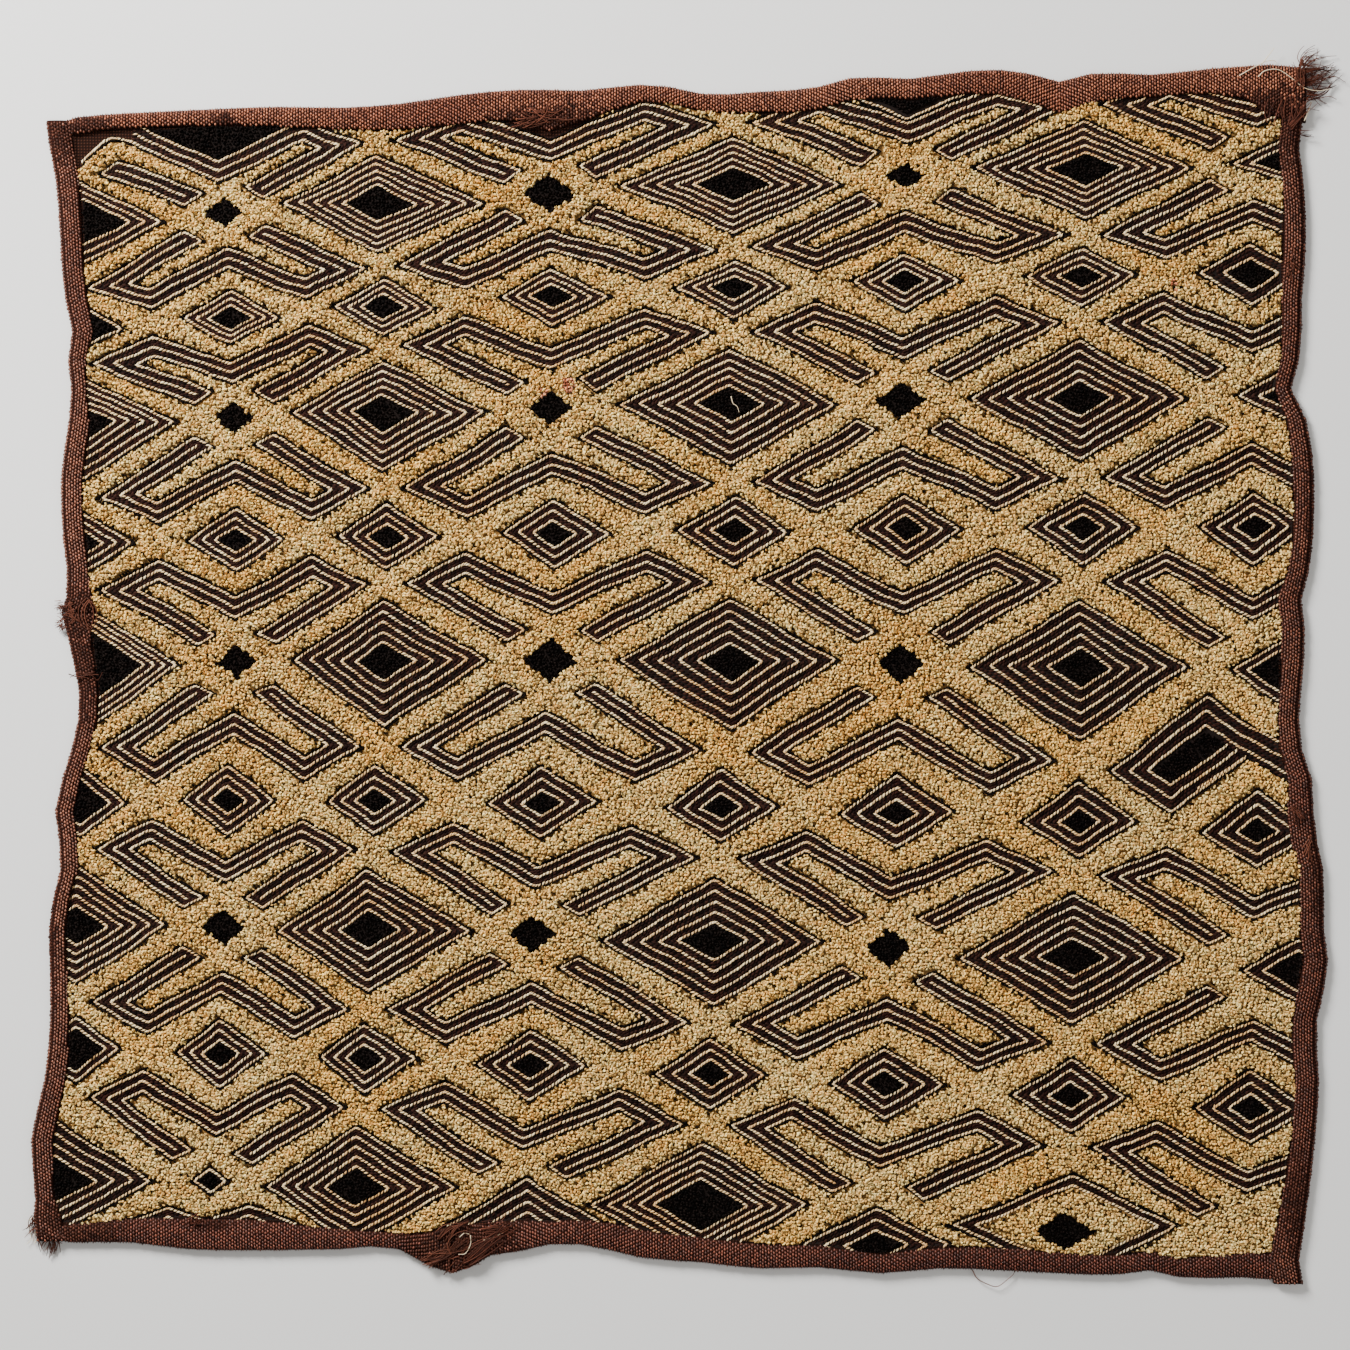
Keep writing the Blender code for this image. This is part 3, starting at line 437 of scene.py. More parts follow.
# Right half of a bow's centre line, as shares of the lattice spacing from its hub
BOW_LINE = table("u v", (0.0, 0.44), (0.51, 0.77), (0.76, 0.612), (0.20, 0.19))
BOW_SKEW = 0.6
# The top left bow is open: its left side runs on to the edge, over a short strip of its own
OPEN_BOW = (1, 1)
OPEN_END = (-275.5, 264.0)
SHORT_STRIP = ((-271.0, 241.0), (-230.5, 225.0))
SHORT_SKEW = 0.7


def bow(column, row, up):
    """A stitched bow over or under a hub: its centre line, from one arm's end to the other's."""
    hub = node(column, row)
    ahead = node(column, row - 1 if up else row + 1)
    line = []
    for side in (-1, 1):
        beside = node(column + side, row)
        across = node(column + side, row - 1 if up else row + 1)
        half = []
        for u, v in zip(BOW_LINE["u"], BOW_LINE["v"]):
            near = hub * (1 - u) + beside * u
            far = ahead * (1 - u) + across * u
            half.append(near * (1 - v) + far * v)
        last = 2 if column == EDGE_COLUMN else len(half)
        line += half[::-1] if side < 0 else half[1:last]
    if up and (column, row) == OPEN_BOW:
        line = [np.array(OPEN_END)] + line[len(half) - 1:]
    skew = BOW_SKEW if up else -BOW_SKEW
    return {"kind": "bow", "line": np.array(line), "skews": (skew, -skew)}


def offset_line(line, shift, skews):
    """The line moved sideways, with mitred corners and each end cut on its own slant."""
    steps = unit(np.diff(line, axis=0))
    normals = np.stack((-steps[:, 1], steps[:, 0]), axis=1)
    moved = [line[0] + normals[0] * shift + steps[0] * skews[0] * shift]
    for here, before, after in zip(line[1:], normals, normals[1:]):
        moved.append(here + (before + after) * shift / (1 + before @ after))
    moved.append(line[-1] + normals[-1] * shift + steps[-1] * skews[1] * shift)
    return np.array(moved)


def bow_loop(cell, depth):
    """The bow's outline, moved in by a depth."""
    half = BOW_HALF - depth
    one = offset_line(cell["line"], half, cell["skews"])
    other = offset_line(cell["line"], -half, cell["skews"])
    return np.vstack((one, other[::-1]))


def bow_depth(cell, points):
    """How deep each point lies inside the bow's outline, negative outside."""
    loop = bow_loop(cell, 0.0)
    nearest = np.full(len(points), np.inf)
    for a, b in zip(loop, np.roll(loop, -1, axis=0)):
        along = b - a
        t = np.clip((points - a) @ along / (along @ along), 0, 1)
        nearest = np.minimum(nearest, np.linalg.norm(points - a - t[:, None] * along, axis=1))
    return np.where(inside_loop(points, loop), nearest, -nearest)


def cell_loop(cell, depth):
    """A cell's outline, moved in by a depth."""
    return {"bow": bow_loop, "bar": bar_loop}.get(cell["kind"], diamond_loop)(cell, depth)


def embroidery():
    """Every stitched cell and black hub, from the lattice and the odd cells."""
    others = {tuple(key[:2]): key[2:] for key in zip(*OTHER_CORES.values())}
    cells = []
    for row in range(FIRST_MAIN, LAST_MAIN + 1):
        main = row % 2 == 1
        wide, tall, *usual = BIG_DIAMOND if main else SMALL_DIAMOND
        for column in range(len(COLUMN_X)):
            if main and column % 2 == 1:
                cells.append(bow(column, row, True))
                if row < LAST_MAIN and (column, row) != (EDGE_COLUMN, BAR_ROW):
                    cells.append(bow(column, row, False))
            elif (column, row) != (EDGE_COLUMN - 1, LAST_MAIN):
                left, right, down, up = spacing(column, row)
                core, rows = others.get((column, row), usual)
                halves = (wide * left, wide * right, tall * down, tall * up)
                cells.append(diamond(node(column, row), halves, core, rows))
    for x, y, left, right, down, up, core, rows in rows_of(ODD_CELLS):
        cells.append(diamond((x, y), (left, right, down, up), core, rows))
    cells.append({"kind": "bow", "line": np.array(SHORT_STRIP), "skews": (SHORT_SKEW, SHORT_SKEW)})
    cells.append(slanted_bar())
    cells.append({**diamond(FRAMED_AT, FRAMED, 0.0, 1), "kind": "frame"})
    hubs = [diamond(FRAMED_CORE_AT, FRAMED_CORE, 0.0, 1)]
    for column, row, wide, tall in rows_of(HUBS):
        hubs.append(diamond(node(int(column), int(row)), (wide, wide, tall, tall), 0.0, 1))
    return cells, hubs


def inside_loop(points, loop):
    """Which points lie inside a closed outline."""
    inside = np.zeros(len(points), dtype=bool)
    for a, b in zip(loop, np.roll(loop, -1, axis=0)):
        spans = (a[1] > points[:, 1]) != (b[1] > points[:, 1])
        height = b[1] - a[1] if b[1] != a[1] else TINY
        inside ^= spans & (points[:, 0] < a[0] + (points[:, 1] - a[1]) * (b[0] - a[0]) / height)
    return inside


def triangulate(outline, loops):
    """Triangles over an outline, with edges along the given loops."""
    points = []
    edges = []
    for path in [outline] + loops:
        start, count = len(points), len(path)
        points += [Vector((float(x), float(y))) for x, y in path]
        edges += [(start + k, start + (k + 1) % count) for k in range(count)]
    found = delaunay_2d_cdt(points, edges, [], 0, WELD, False)
    corners = np.array([tuple(p) for p in found[0]])
    faces = np.array([face for face in found[2] if len(face) == 3])
    return corners, faces[inside_loop(corners[faces].mean(axis=1), outline)]


def boundary(faces):
    """The triangles' outer edges, in their winding order."""
    edges = {edge: True for a, b, c in faces for edge in ((a, b), (b, c), (c, a))}
    return [edge for edge in edges if (edge[1], edge[0]) not in edges]


SIDES = {
    "top": (TOP, lambda at, out: (at, out)),
    "bottom": (BOTTOM, lambda at, out: (at, -out)),
    "left": (LEFT, lambda at, out: (-out, at)),
    "right": (RIGHT, lambda at, out: (out, at)),
}


def strip_limits():
    """Where each side's strips start and end: the left ones and the right one's foot cover
    the corners, and the top one covers the top right corner."""
    far_right = border(0.0, 0.0)[:, 0].max()

    def inner(tab, start, end):
        places = np.linspace(start, end, CORNER_PLACES)
        inmost = np.min(along_side(tab, "edge", places) - along_side(tab, "width", places))
        return float(inmost) - JOINT_GAP

    left_top, left_low = TOP["edge"][0], -BOTTOM["edge"][0]
    right_low = -BOTTOM["edge"][-1]
    low_start = -inner(LEFT, left_low, left_low + CORNER_REACH)
    low_end = inner(RIGHT, right_low, right_low + CORNER_REACH)
    return {
        "left": (left_low, left_top),
        "right": (right_low, inner(TOP, far_right - CORNER_REACH, far_right)),
        "top": (-inner(LEFT, left_top - CORNER_REACH, left_top), RIGHT["edge"][-1]),
        "bottom": (low_start, low_end),
    }


RNG = np.random.default_rng(20)
# Waves of handwork: axis moved, size, and wave lengths across and down; and of a ragged edge
HAND_WAVES = table(
    "axis size across down",
    (0, 0.4, 9.3, 17.1), (0, 0.25, 31.0, 6.1), (1, 0.4, -14.3, 8.1), (1, 0.25, 5.7, 27.0),
    (0, 0.16, 2.9, 3.7), (1, 0.16, -3.4, 2.7),
)
RAGGED_WAVES = ((0.9, 1.7), (-1.3, 1.1), (3.1, 2.3))
# The least and greatest share to which each size of a grain varies
STITCH_SHARES = ((0.85, 1.15), (0.85, 1.12), (0.8, 1.15))
TUFT_SHARES = ((0.72, 1.2), (0.8, 1.12))
THREAD_SHARES = ((0.9, 1.1), (0.8, 1.0), (0.75, 1.15))


def varied(sizes, shares, count):
    """Each size as many values, varied between its least and greatest share."""
    return [size * RNG.uniform(*ends, count) for size, ends in zip(sizes, shares)]


def hand(points):
    """Points moved by the small waves of handwork; the third column, if any, stays."""
    x, y = points[:, 0], points[:, 1]
    moved = points.copy()
    for axis, size, across, down in rows_of(HAND_WAVES):
        moved[:, int(axis)] += size * np.sin(x / across + y / down)
    return moved


def placed(name, data):
    """A new object in the scene."""
    thing = bpy.data.objects.new(name, data)
    bpy.context.scene.collection.objects.link(thing)
    return thing


def add_mesh(name, points, faces, materials, slot="embroidered_raffia", smooth=True, which=None):
    """An object from points in the chart's frame, in millimetres, and equal-sided faces."""
    points = (np.asarray(points, dtype=float) + SHIFT) * MM
    faces = np.asarray(faces, dtype=np.int32)
    count, sides = faces.shape
    mesh = bpy.data.meshes.new(name)
    mesh.vertices.add(len(points))
    mesh.vertices.foreach_set("co", points.astype(np.float32).ravel())
    mesh.loops.add(count * sides)
    mesh.loops.foreach_set("vertex_index", faces.ravel())
    mesh.polygons.add(count)
    mesh.polygons.foreach_set("loop_start", np.arange(0, count * sides, sides, dtype=np.int32))
    mesh.polygons.foreach_set("loop_total", np.full(count, sides, dtype=np.int32))
    if which is not None:
        mesh.polygons.foreach_set("material_index", np.asarray(which, dtype=np.int32))
    mesh.polygons.foreach_set("use_smooth", np.full(count, smooth))
    mesh.update(calc_edges=True)
    for material in materials:
        mesh.materials.append(material)
    thing = placed(name, mesh)
    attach(thing, "root")
    return thing


UP = np.array((0.0, 0.0, 1.0))
GRAIN_FACES = np.array(
    ((0, 1, 4), (1, 5, 4), (1, 2, 5), (2, 3, 5), (3, 4, 5), (3, 0, 4)), dtype=np.int32
)


def grains(middle, along, up, length, width, rise, ridge=0.5):
    """Small raised grains, each a low six-faced roof: points and triangles.

    Each lies on its middle point, its ridge a share of its length and above it by rise.
    """
    length, width, rise = (np.broadcast_to(v, len(middle))[:, None] for v in (length, width, rise))
    ahead, aside = along * length / 2, np.cross(up, along) * width / 2
    top = middle + up * rise
    corners = (
        middle - ahead, middle - aside, middle + ahead, middle + aside,
        top - ahead * ridge, top + ahead * ridge,
    )
    points = np.stack(corners, axis=1).reshape(-1, 3)
    return points, (np.arange(len(middle))[:, None, None] * len(corners) + GRAIN_FACES).reshape(-1, 3)


def walk(path, closed, step):
    """Evenly spaced points along a polyline, with the direction at each."""
    path = np.vstack((path, path[:1])) if closed else np.asarray(path)
    legs = np.diff(path, axis=0)
    places = []
    headings = []
    for start, leg, length in zip(path, legs, np.linalg.norm(legs, axis=1)):
        count = max(1, round(length / step))
        share = (np.arange(count) + 0.5) / count
        places.append(start + share[:, None] * leg)
        headings.append(np.tile(leg / max(length, TINY), (count, 1)))
    return np.vstack(places), np.vstack(headings)


def shortened(line, cut):
    """A bow's centre line with both its ends cut back."""
    line = line.copy()
    for end, near in ((0, 1), (-1, -2)):
        line[end] += unit(line[near] - line[end]) * cut
    return line


def rounded(path, closed):
    """A polyline with a small curve at each of its corners."""
    before, after = np.roll(path, 1, axis=0), np.roll(path, -1, axis=0)
    points = []
    for k, (last, here, ahead) in enumerate(zip(before, path, after)):
        if not closed and k in (0, len(path) - 1):
            points.append(here)
            continue
        near, far = np.linalg.norm(last - here), np.linalg.norm(ahead - here)
        cut = min(CORNER_CUT, CORNER_SHARE * near, CORNER_SHARE * far)
        one, other = here + (last - here) / near * cut, here + (ahead - here) / far * cut
        points += [one, (one + other) / 4 + here / 2, other]
    return np.array(points)


def run_on(start, near):
    """Where a row from start through near bends, and where it passes under the right binding."""
    bend = start + (near - start) * (RUN_BEND - start[0]) / (near - start)[0]
    return bend, bend + np.array((1.0, RUN_SLOPE)) * (RUN_TO - RUN_BEND)


def meeting(a, b, c, d):
    """Where the line through a and b meets the one through c and d."""
    share, _ = np.linalg.solve(np.column_stack((b - a, c - d)), c - a)
    return a + share * (b - a)


def running_band(cell):
    """Outline of the bar's upper right rows, which run on to the binding."""
    outer, inner = bar_loop(cell, -ROWS_OUT), bar_loop(cell, RUN_DEEP)
    return np.array((outer[1], *run_on(*outer[1:3]), *run_on(*inner[1:3])[::-1], inner[1]))


def bar_rows(cell):
    """The bar's rows, each open at the right corner, where its upper right side runs on."""
    depths = [(SHADE_ROW_AT, "outline")]
    for k in range(cell["rows"]):
        depth, third = FIRST_ROW + k * cell["pitch"], cell["pitch"] / 3
        depths += [(depth, "cream"), (depth + third, "dark"), (depth + 2 * third, "dark")]
    last = bar_loop(cell, RUN_DEEP - RUN_CREAM)
    rows = []
    for depth, tone in depths[:-2]:
        left, top, right, low = bar_loop(cell, depth)
        start = meeting(right, low, last[1], last[2])
        rows.append((np.array((start, low, left, top, *run_on(top, right))), False, tone))
        if depth == FIRST_ROW:
            _, _, right, low = bar_loop(cell, depth + DOUBLED_DEEP)
            rows.append((np.array((start, low + DOUBLED_SHARE * (right - low))), False, tone))
    for short, tone in RUN_ROWS:
        _, top, right, _ = bar_loop(cell, RUN_DEEP - short)
        rows.append((np.array((top + RUN_SHARE * (right - top), *run_on(top, right))), False, tone))
    return rows


# Places of the chart that are dressed closer to how they lie: the lowest cell at the left edge,
# given by its centre, reach to each side, black core and rows; the top left half, all black to
# its rim; and the fold of the bow beside that half, moved with it
EDGE_CELL = ((-296.8, -240.8), (43.0, 46.2, 25.9, 29.5), 9.1, 4)
BLACK_CELL = (-217.5, 266.0)
BLACK_RIM = 1.0
CORNER_FOLD = (-216.5, 239.9)
CORNER_SHIFT = (-3.0, -1.9)
FOLD_CLOSE = 0.1


def dressed(cells):
    """The chart's cells, with those places changed."""
    kept = []
    for cell in cells:
        centre = cell.get("centre", (0.0, 0.0))
        if np.allclose(centre, node(0, LAST_MAIN)):
            cell = diamond(*EDGE_CELL)
        elif np.allclose(centre, BLACK_CELL):
            cell = {**cell, "rows": 0, "core": cell["reach"] - BLACK_RIM}
            cell["centre"] = cell["centre"] + CORNER_SHIFT
        elif cell["kind"] == "bow" and np.allclose(cell["line"][1], CORNER_FOLD, atol=FOLD_CLOSE):
            cell["line"][1] += CORNER_SHIFT
        kept.append(cell)
    return kept


def cell_rows(cell):
    """One cell's stitched rows: polyline, whether it is closed, and its tone."""
    kind, pitch = cell["kind"], cell.get("pitch")
    if kind == "bar":
        return bar_rows(cell)
    if kind == "bow":
        rows = []
        for depth, tone in BOW_ROWS:
            short = {**cell, "line": shortened(cell["line"], max(depth, 0.0))}
            rows.append((bow_loop(short, depth), True, tone))
        return rows + [(shortened(cell["line"], BOW_MIDDLE_CUT), False, "cream")]
    if not cell["rows"]:
        return []
    depths = [(SHADE_ROW_AT, "outline")]
    if kind == "frame":
        depths += FRAME_ROWS
    else:
        for k in range(cell["rows"]):
            depth = FIRST_ROW + k * pitch
            depths.append((depth, "cream"))
            if k + 1 < cell["rows"]:
                depths += [(depth + pitch / 3, "dark"), (depth + pitch * 2 / 3, "dark")]
            elif pitch * LAST_ROW > CORE_ROOM:
                depths.append((depth + pitch * LAST_ROW + CORE_PAST, "outline"))
    return [(diamond_loop(cell, depth), True, tone) for depth, tone in depths]


# Stitches of each tone: spacing along the row, size, height of their base, rise and slant;
# the outline tone is black grains, painted shade in the gaps beside the pile
TONES = table(
    "step length width base rise slant",
    (1.80, 2.65, 1.22, 1.65, 0.90, 30.0),
    (2.3, 3.1, 1.60, 1.40, 0.72, 24.0),
    (2.1, 2.8, 1.25, 1.60, 0.95, 10.0),
)
TONE_ROWS = {"cream": 0, "dark": 1, "outline": 2}
SLANT_SPREAD = 4.0
PLACE_SPREAD = 0.09
UNDER_STRIP = 0.5


def stitches(cells, tone):
    """All stitches of one tone, as points and triangles."""
    step, long, wide, base, high, slant = (values[TONE_ROWS[tone]] for values in TONES.values())
    rows = [found for cell in cells for found in cell_rows(cell)]
    rows += [(CORNER_ROW, False, "cream"), (CORNER_SHADE_ROW, False, "outline")]
    walks = [walk(rounded(path, closed), closed, step) for path, closed, kind in rows if kind == tone]
    places, headings = (np.vstack(got) for got in zip(*walks))
    kept = (clear_of_strips(places) > -UNDER_STRIP) & ~inside_loop(places, ROWLESS)
    places, headings = places[kept], headings[kept]
    count = len(places)
    turn = np.radians(slant + RNG.normal(0.0, SLANT_SPREAD, count))[:, None]
    aside = np.stack((-headings[:, 1], headings[:, 0]), axis=1)
    along = np.column_stack((headings * np.cos(turn) + aside * np.sin(turn), np.zeros(count)))
    spots = hand(places + RNG.normal(0.0, PLACE_SPREAD, (count, 2)))
    length, width, rise = varied((long, wide, high), STITCH_SHARES, count)
    return grains(np.column_stack((spots, np.full(count, base))), along, UP, length, width, rise)


# Bare patches of ground, in the top corners and under the top strip: outline in chart millimetres
BARE_PATCHES = [np.array(patch, dtype=float) for patch in (
    ((-290, 238), (-282.6, 241.2), (-279.9, 244.6), (-276.2, 247.7), (-272.6, 250.7), (-269.4, 252.6),
     (-266.4, 252.2), (-262, 251), (-259, 250.3), (-259.8, 260.8), (-289.8, 265.5)),
    ((252, 276), (291, 278), (291, 264), (272, 262), (256, 268)),
    ((-86.9, 262.7), (-62.2, 253.4), (-35.2, 266.2), (-35.2, 270.3), (-86.9, 267.9)),
)]
# Where no cell's row runs, in the top left patch, and the thin row that borders it instead,
# with a dark row of painted shade beside a part of it
ROWLESS = np.array((
    (-289.8, 239.4), (-285, 243.2), (-281.7, 247.5), (-277.9, 250.8), (-274.1, 253.9), (-269.8, 255.7),
    (-266, 254.8), (-262.2, 253.3), (-259.8, 252.5), (-259.8, 260.8), (-289.8, 265.5),
))
CORNER_ROW = np.array((
    (-284.1, 242.7), (-281.2, 246.1), (-277.4, 249.4), (-273.6, 252.5), (-269.8, 254.6), (-266.5, 254.1),
    (-262.2, 252.8), (-259.4, 252.1),
))
CORNER_SHADE_ROW = CORNER_ROW[:6] + (0.9, -1.1)
TUFT_LEAN = 0.16
TUFT_LONG = 1.15


def uneven(points):
    """Small waves, from -1 to 1, by which an edge of pile runs ragged."""
    x, y = points[:, 0], points[:, 1]
    return sum(np.sin(x / across + y / down) for across, down in RAGGED_WAVES) / len(RAGGED_WAVES)


def zones(points, cells, hubs):
    """For each point: 0 in gold pile, 1 in black pile, 2 in stitched rows; and its depth in pile."""
    zone = np.zeros(len(points), dtype=int)
    margin = np.full(len(points), FAR_IN)
    for cell in cells:
        kind = cell["kind"]
        loop = cell_loop(cell, -NEAR_REACH)
        near = np.flatnonzero(((points > loop.min(axis=0)) & (points < loop.max(axis=0))).all(axis=1))
        if not len(near):
            continue
        spots = points[near]
        depth = bow_depth(cell, spots) if kind == "bow" else diamond_depth(cell, spots)
        away = np.maximum(-depth, depth - FRAME_WIDTH) if kind == "frame" else -depth
        margin[near] = np.minimum(margin[near], away)
        worked = depth > -(PILE_CLEAR + PILE_RAGGED * uneven(spots))
        if kind == "frame":
            worked &= depth < FRAME_WIDTH
        elif kind != "bow":
            core = depth > cell["reach"] - cell["core"] + CORE_IN
            zone[near[core]] = 1
            worked &= ~core
        zone[near[worked]] = 2
        if kind == "bar":
            zone[inside_loop(points, running_band(cell))] = 2
    for hub in hubs:
        zone[diamond_depth(hub, points) > HUB_RAGGED * uneven(points)] = 1
    return zone, margin


def tufts(points, base, rise, width):
    """Cut tufts standing on the ground at points, as points and triangles."""
    count = len(points)
    turn = RNG.uniform(0.0, math.pi, count)
    along = np.stack((np.cos(turn), np.sin(turn), np.zeros(count)), axis=1)
    up = np.column_stack((RNG.normal(0.0, TUFT_LEAN, (count, 2)), np.ones(count)))
    middle = np.column_stack((points, np.broadcast_to(base, count)))
    wide, high = varied((width, rise), TUFT_SHARES, count)
    return grains(middle, along, up, wide * TUFT_LONG, wide, high)


# Places with a few reddish tufts: photo pixels and reach
RED_PLACES = table(
    "x y reach",
    (566, 386, 8), (543, 394, 4), (1175, 285, 5), (1254, 1085, 6), (318, 1190, 5), (1183, 165, 4),
)


def reddish(points):
    """Which tufts are red ones."""
    x, y = in_pixels(points)
    found = np.zeros(len(points), dtype=bool)
    for across, down, reach in rows_of(RED_PLACES):
        found |= np.hypot(x - across, y - down) < reach * RNG.uniform(0.4, 1.2, len(points))
    return found


# Uneven pile: broad swells, and clumps along an axis, given by their wave length, how far they
# bend and the bend's wave length; lower tufts beside the rows; and roots lifted off the ground
SWELL = (0.2, 47.0, 61.0)
CLUMP = 0.16
CLUMP_WAVES = ((0, 0.8, 1.7, 2.1), (1, 0.7, 1.9, 2.6))
LOW_SHARE, LOW_FROM, LOW_OVER = 0.72, 0.8, 3.0
LIFT, LIFT_FROM, LIFT_SHARE = 0.9, 1.4, 0.93
# Tuft widths, and the shares of the gold tufts to the left of each of its pieces' ends
GOLD_TUFT, BLACK_TUFT, SPECK_TUFT = 1.95, 1.6, 1.2
GOLD_SHARES = (0.0, 0.34, 0.67, 1.0)
TUFT_JITTER = 0.52
ROW_GAP = 0.9
PILE_IN = 0.2
# Dark tufts among the gold ones: how many beside the rows, and how many anywhere
SPECK_REACH, SPECK_SHARE, STRAY_SHARE = 2.2, 0.22, 0.018


def unevenness(points):
    """How much higher or lower the pile stands at each place."""
    size, across, down = SWELL
    total = size * np.sin(points[:, 0] / across) * np.cos(points[:, 1] / down)
    for axis, wave, bent, turn in CLUMP_WAVES:
        total += CLUMP * np.sin(points[:, axis] / wave + bent * np.sin(points[:, 1 - axis] / turn))
    return total


def build_pile(cells, hubs, gold, black, red):
    """The cut pile: gold tufts in three widths of the cloth, and black ones in cores and hubs."""
    rim = border(RIM_CLEAR, 1.0)
    low, high = rim.min(axis=0), rim.max(axis=0)
    xs = np.arange(low[0], high[0], TUFT_STEP)
    ys = np.arange(low[1], high[1], TUFT_STEP * ROW_GAP)
    grid = np.stack(np.meshgrid(xs, ys), axis=2)
    grid[1::2, :, 0] += TUFT_STEP / 2
    points = grid.reshape(-1, 2)
    points += RNG.uniform(-TUFT_JITTER, TUFT_JITTER, points.shape)
    points = points[clear_of_strips(points) > PILE_IN]
    for patch in BARE_PATCHES:
        points = points[~inside_loop(points, patch)]
    zone, margin = zones(points, cells, hubs)
    speck = (zone == 0) & (margin < SPECK_REACH) & (RNG.random(len(points)) < SPECK_SHARE)
    speck |= (zone == 0) & (RNG.random(len(points)) < STRAY_SHARE)
    golden = (zone == 0) & ~speck
    spread = hand(points)
    x = points[:, 0]
    shade = np.clip((margin - LOW_FROM) / LOW_OVER, 0, 1)
    rise = (PILE_RISE + unevenness(points)) * (LOW_SHARE + (1 - LOW_SHARE) * shade)
    lift = LIFT * np.clip((margin - LIFT_FROM) / LIFT_FROM, 0, 1) * (RNG.random(len(points)) < LIFT_SHARE)
    ends = np.quantile(x[golden], GOLD_SHARES)
    made = []
    for name, start, end in zip(("pile_left", "pile_middle", "pile_right"), ends, ends[1:]):
        chosen = golden & (x >= start) & (x <= end)
        got, faces = tufts(spread[chosen], PILE_BASE + lift[chosen], (rise - lift)[chosen], GOLD_TUFT)
        which = np.repeat(reddish(points[chosen]), len(GRAIN_FACES))
        made.append(add_mesh(name, got, faces, [gold, red], smooth=False, which=which))
    for name, chosen, high, wide in (
        ("pile_black", zone == 1, BLACK_RISE, BLACK_TUFT), ("pile_specks", speck, PILE_RISE, SPECK_TUFT),
    ):
        made.append(add_mesh(name, *tufts(spread[chosen], PILE_BASE, high, wide), [black]))
    return made


def build_ground(cells, hubs, materials):
    """The woven ground, a thin closed sheet; its faces know what is worked on them."""
    outline, rim = border(PANEL_INSET, 0.0), border(RIM_CLEAR, 1.0)
    loops = []
    for cell in cells:
        loops.append(cell_loop(cell, -ROWS_OUT))
        if cell["kind"] == "frame":
            loops.append(cell_loop(cell, FRAME_WIDTH))
        elif cell["kind"] != "bow":
            loops.append(cell_loop(cell, cell["reach"] - cell["core"] + CORE_IN))
            if cell["kind"] == "bar":
                loops.append(running_band(cell))
    loops += [diamond_loop(hub, 0.0) for hub in hubs] + BARE_PATCHES
    loops = [loop for loop in loops if inside_loop(loop, rim).any()]
    edges = [rim, border(RIM_CLEAR + RIM_RISE, 1.0), border(RIM_CLEAR + UNDER_RAMP, 1.0)]
    corners, faces = triangulate(outline, edges + loops)
    middles = corners[faces].mean(axis=1)
    zone, _ = zones(middles, cells, hubs)
    # Under gold pile the ground is ground_gold, under rows and cores ground_dark: both dark tones are
    # painted shade of the gaps between tufts and stitches
    which = np.where(zone == 0, 0, 1)
    for patch in BARE_PATCHES:
        which[inside_loop(middles, patch)] = 2
    clear = clear_of_strips(corners)
    which[clear[faces].min(axis=1) < 0.0] = 2
    low_edge = PANEL_EDGE_LOW + (PANEL_RIM_LOW - PANEL_EDGE_LOW) * np.clip(1 + clear / RIM_FALL, 0, 1)
    low = low_edge * np.clip(1 - (clear - RIM_CLEAR) / UNDER_RAMP, 0, 1)
    high = GROUND_TOP + (RIM_TOP - GROUND_TOP) * np.clip(1 - (clear - RIM_CLEAR) / RIM_RISE, 0, 1)
    used, faces = np.unique(faces, return_inverse=True)
    faces = faces.reshape(-1, 3)
    spread, count = hand(corners[used]), len(used)
    points = np.vstack([np.column_stack((spread, height[used])) for height in (high, low)])
    sides = [face for a, b in boundary(faces) for face in ((b, a, a + count), (b, a + count, b + count))]
    every = np.vstack((faces, faces[:, ::-1] + count, np.array(sides)))
    which = np.concatenate((which, np.full(len(faces) + len(sides), 2)))
    return add_mesh("cloth_ground", points, every, materials, smooth=False, which=which), outline


# Bindings: raised threads in staggered columns, upright on the cloth on all four sides
COLUMN = 1.3
THREAD = 1.68
FLOOR_GAP = 0.05
UPRIGHT = ("left", "right")
THREAD_SLANT = 12.0
CROWN = 0.55
DROP = 0.5
PUCKERS = ((0.13, 2.9, 5.0), (0.12, 7.3, -3.0))
FOLD_MIDDLE = 1.7
FOLD_DEEP = 1.55
FOLD_HALF = 1.25
CLOTH_THIN = 0.5
FOLD_TURNS = (54.0, 88.0, 122.0, 156.0)
ACROSS_TURNS = (9.0, 34.0, 61.0, 97.0, 131.0, 158.0)
FACE_SHARES = (1.0, 0.8, 0.6, 0.4, 0.2)
SHEET_TURNS = (0, 45, 90, 135, 180)
STRIP_STEP = 3.0
# How far a strip's end passes under its neighbour, and how deep it is pressed there
TUCK = 5.0
PRESS = 1.6
# Threads: space left at a strip's ends and along its inner edge, and where the first column
# starts; length and rise, share of the cloth's thickness under them, and how they vary
END_CLEAR = 0.4
INNER_CLEAR = 0.2
FACE_START = 0.1
THREAD_LONG = 1.1
THREAD_RISE = 0.85
THREAD_RIDGE = 0.4
THREAD_BASE = 0.2
THREAD_SPREAD = 5.0
# A strip's flat width is its face and underside, and this much for the fold
FOLD_FLAT = 1.5
DARK_FULL, DARK_FADE = 1.5, 1.2
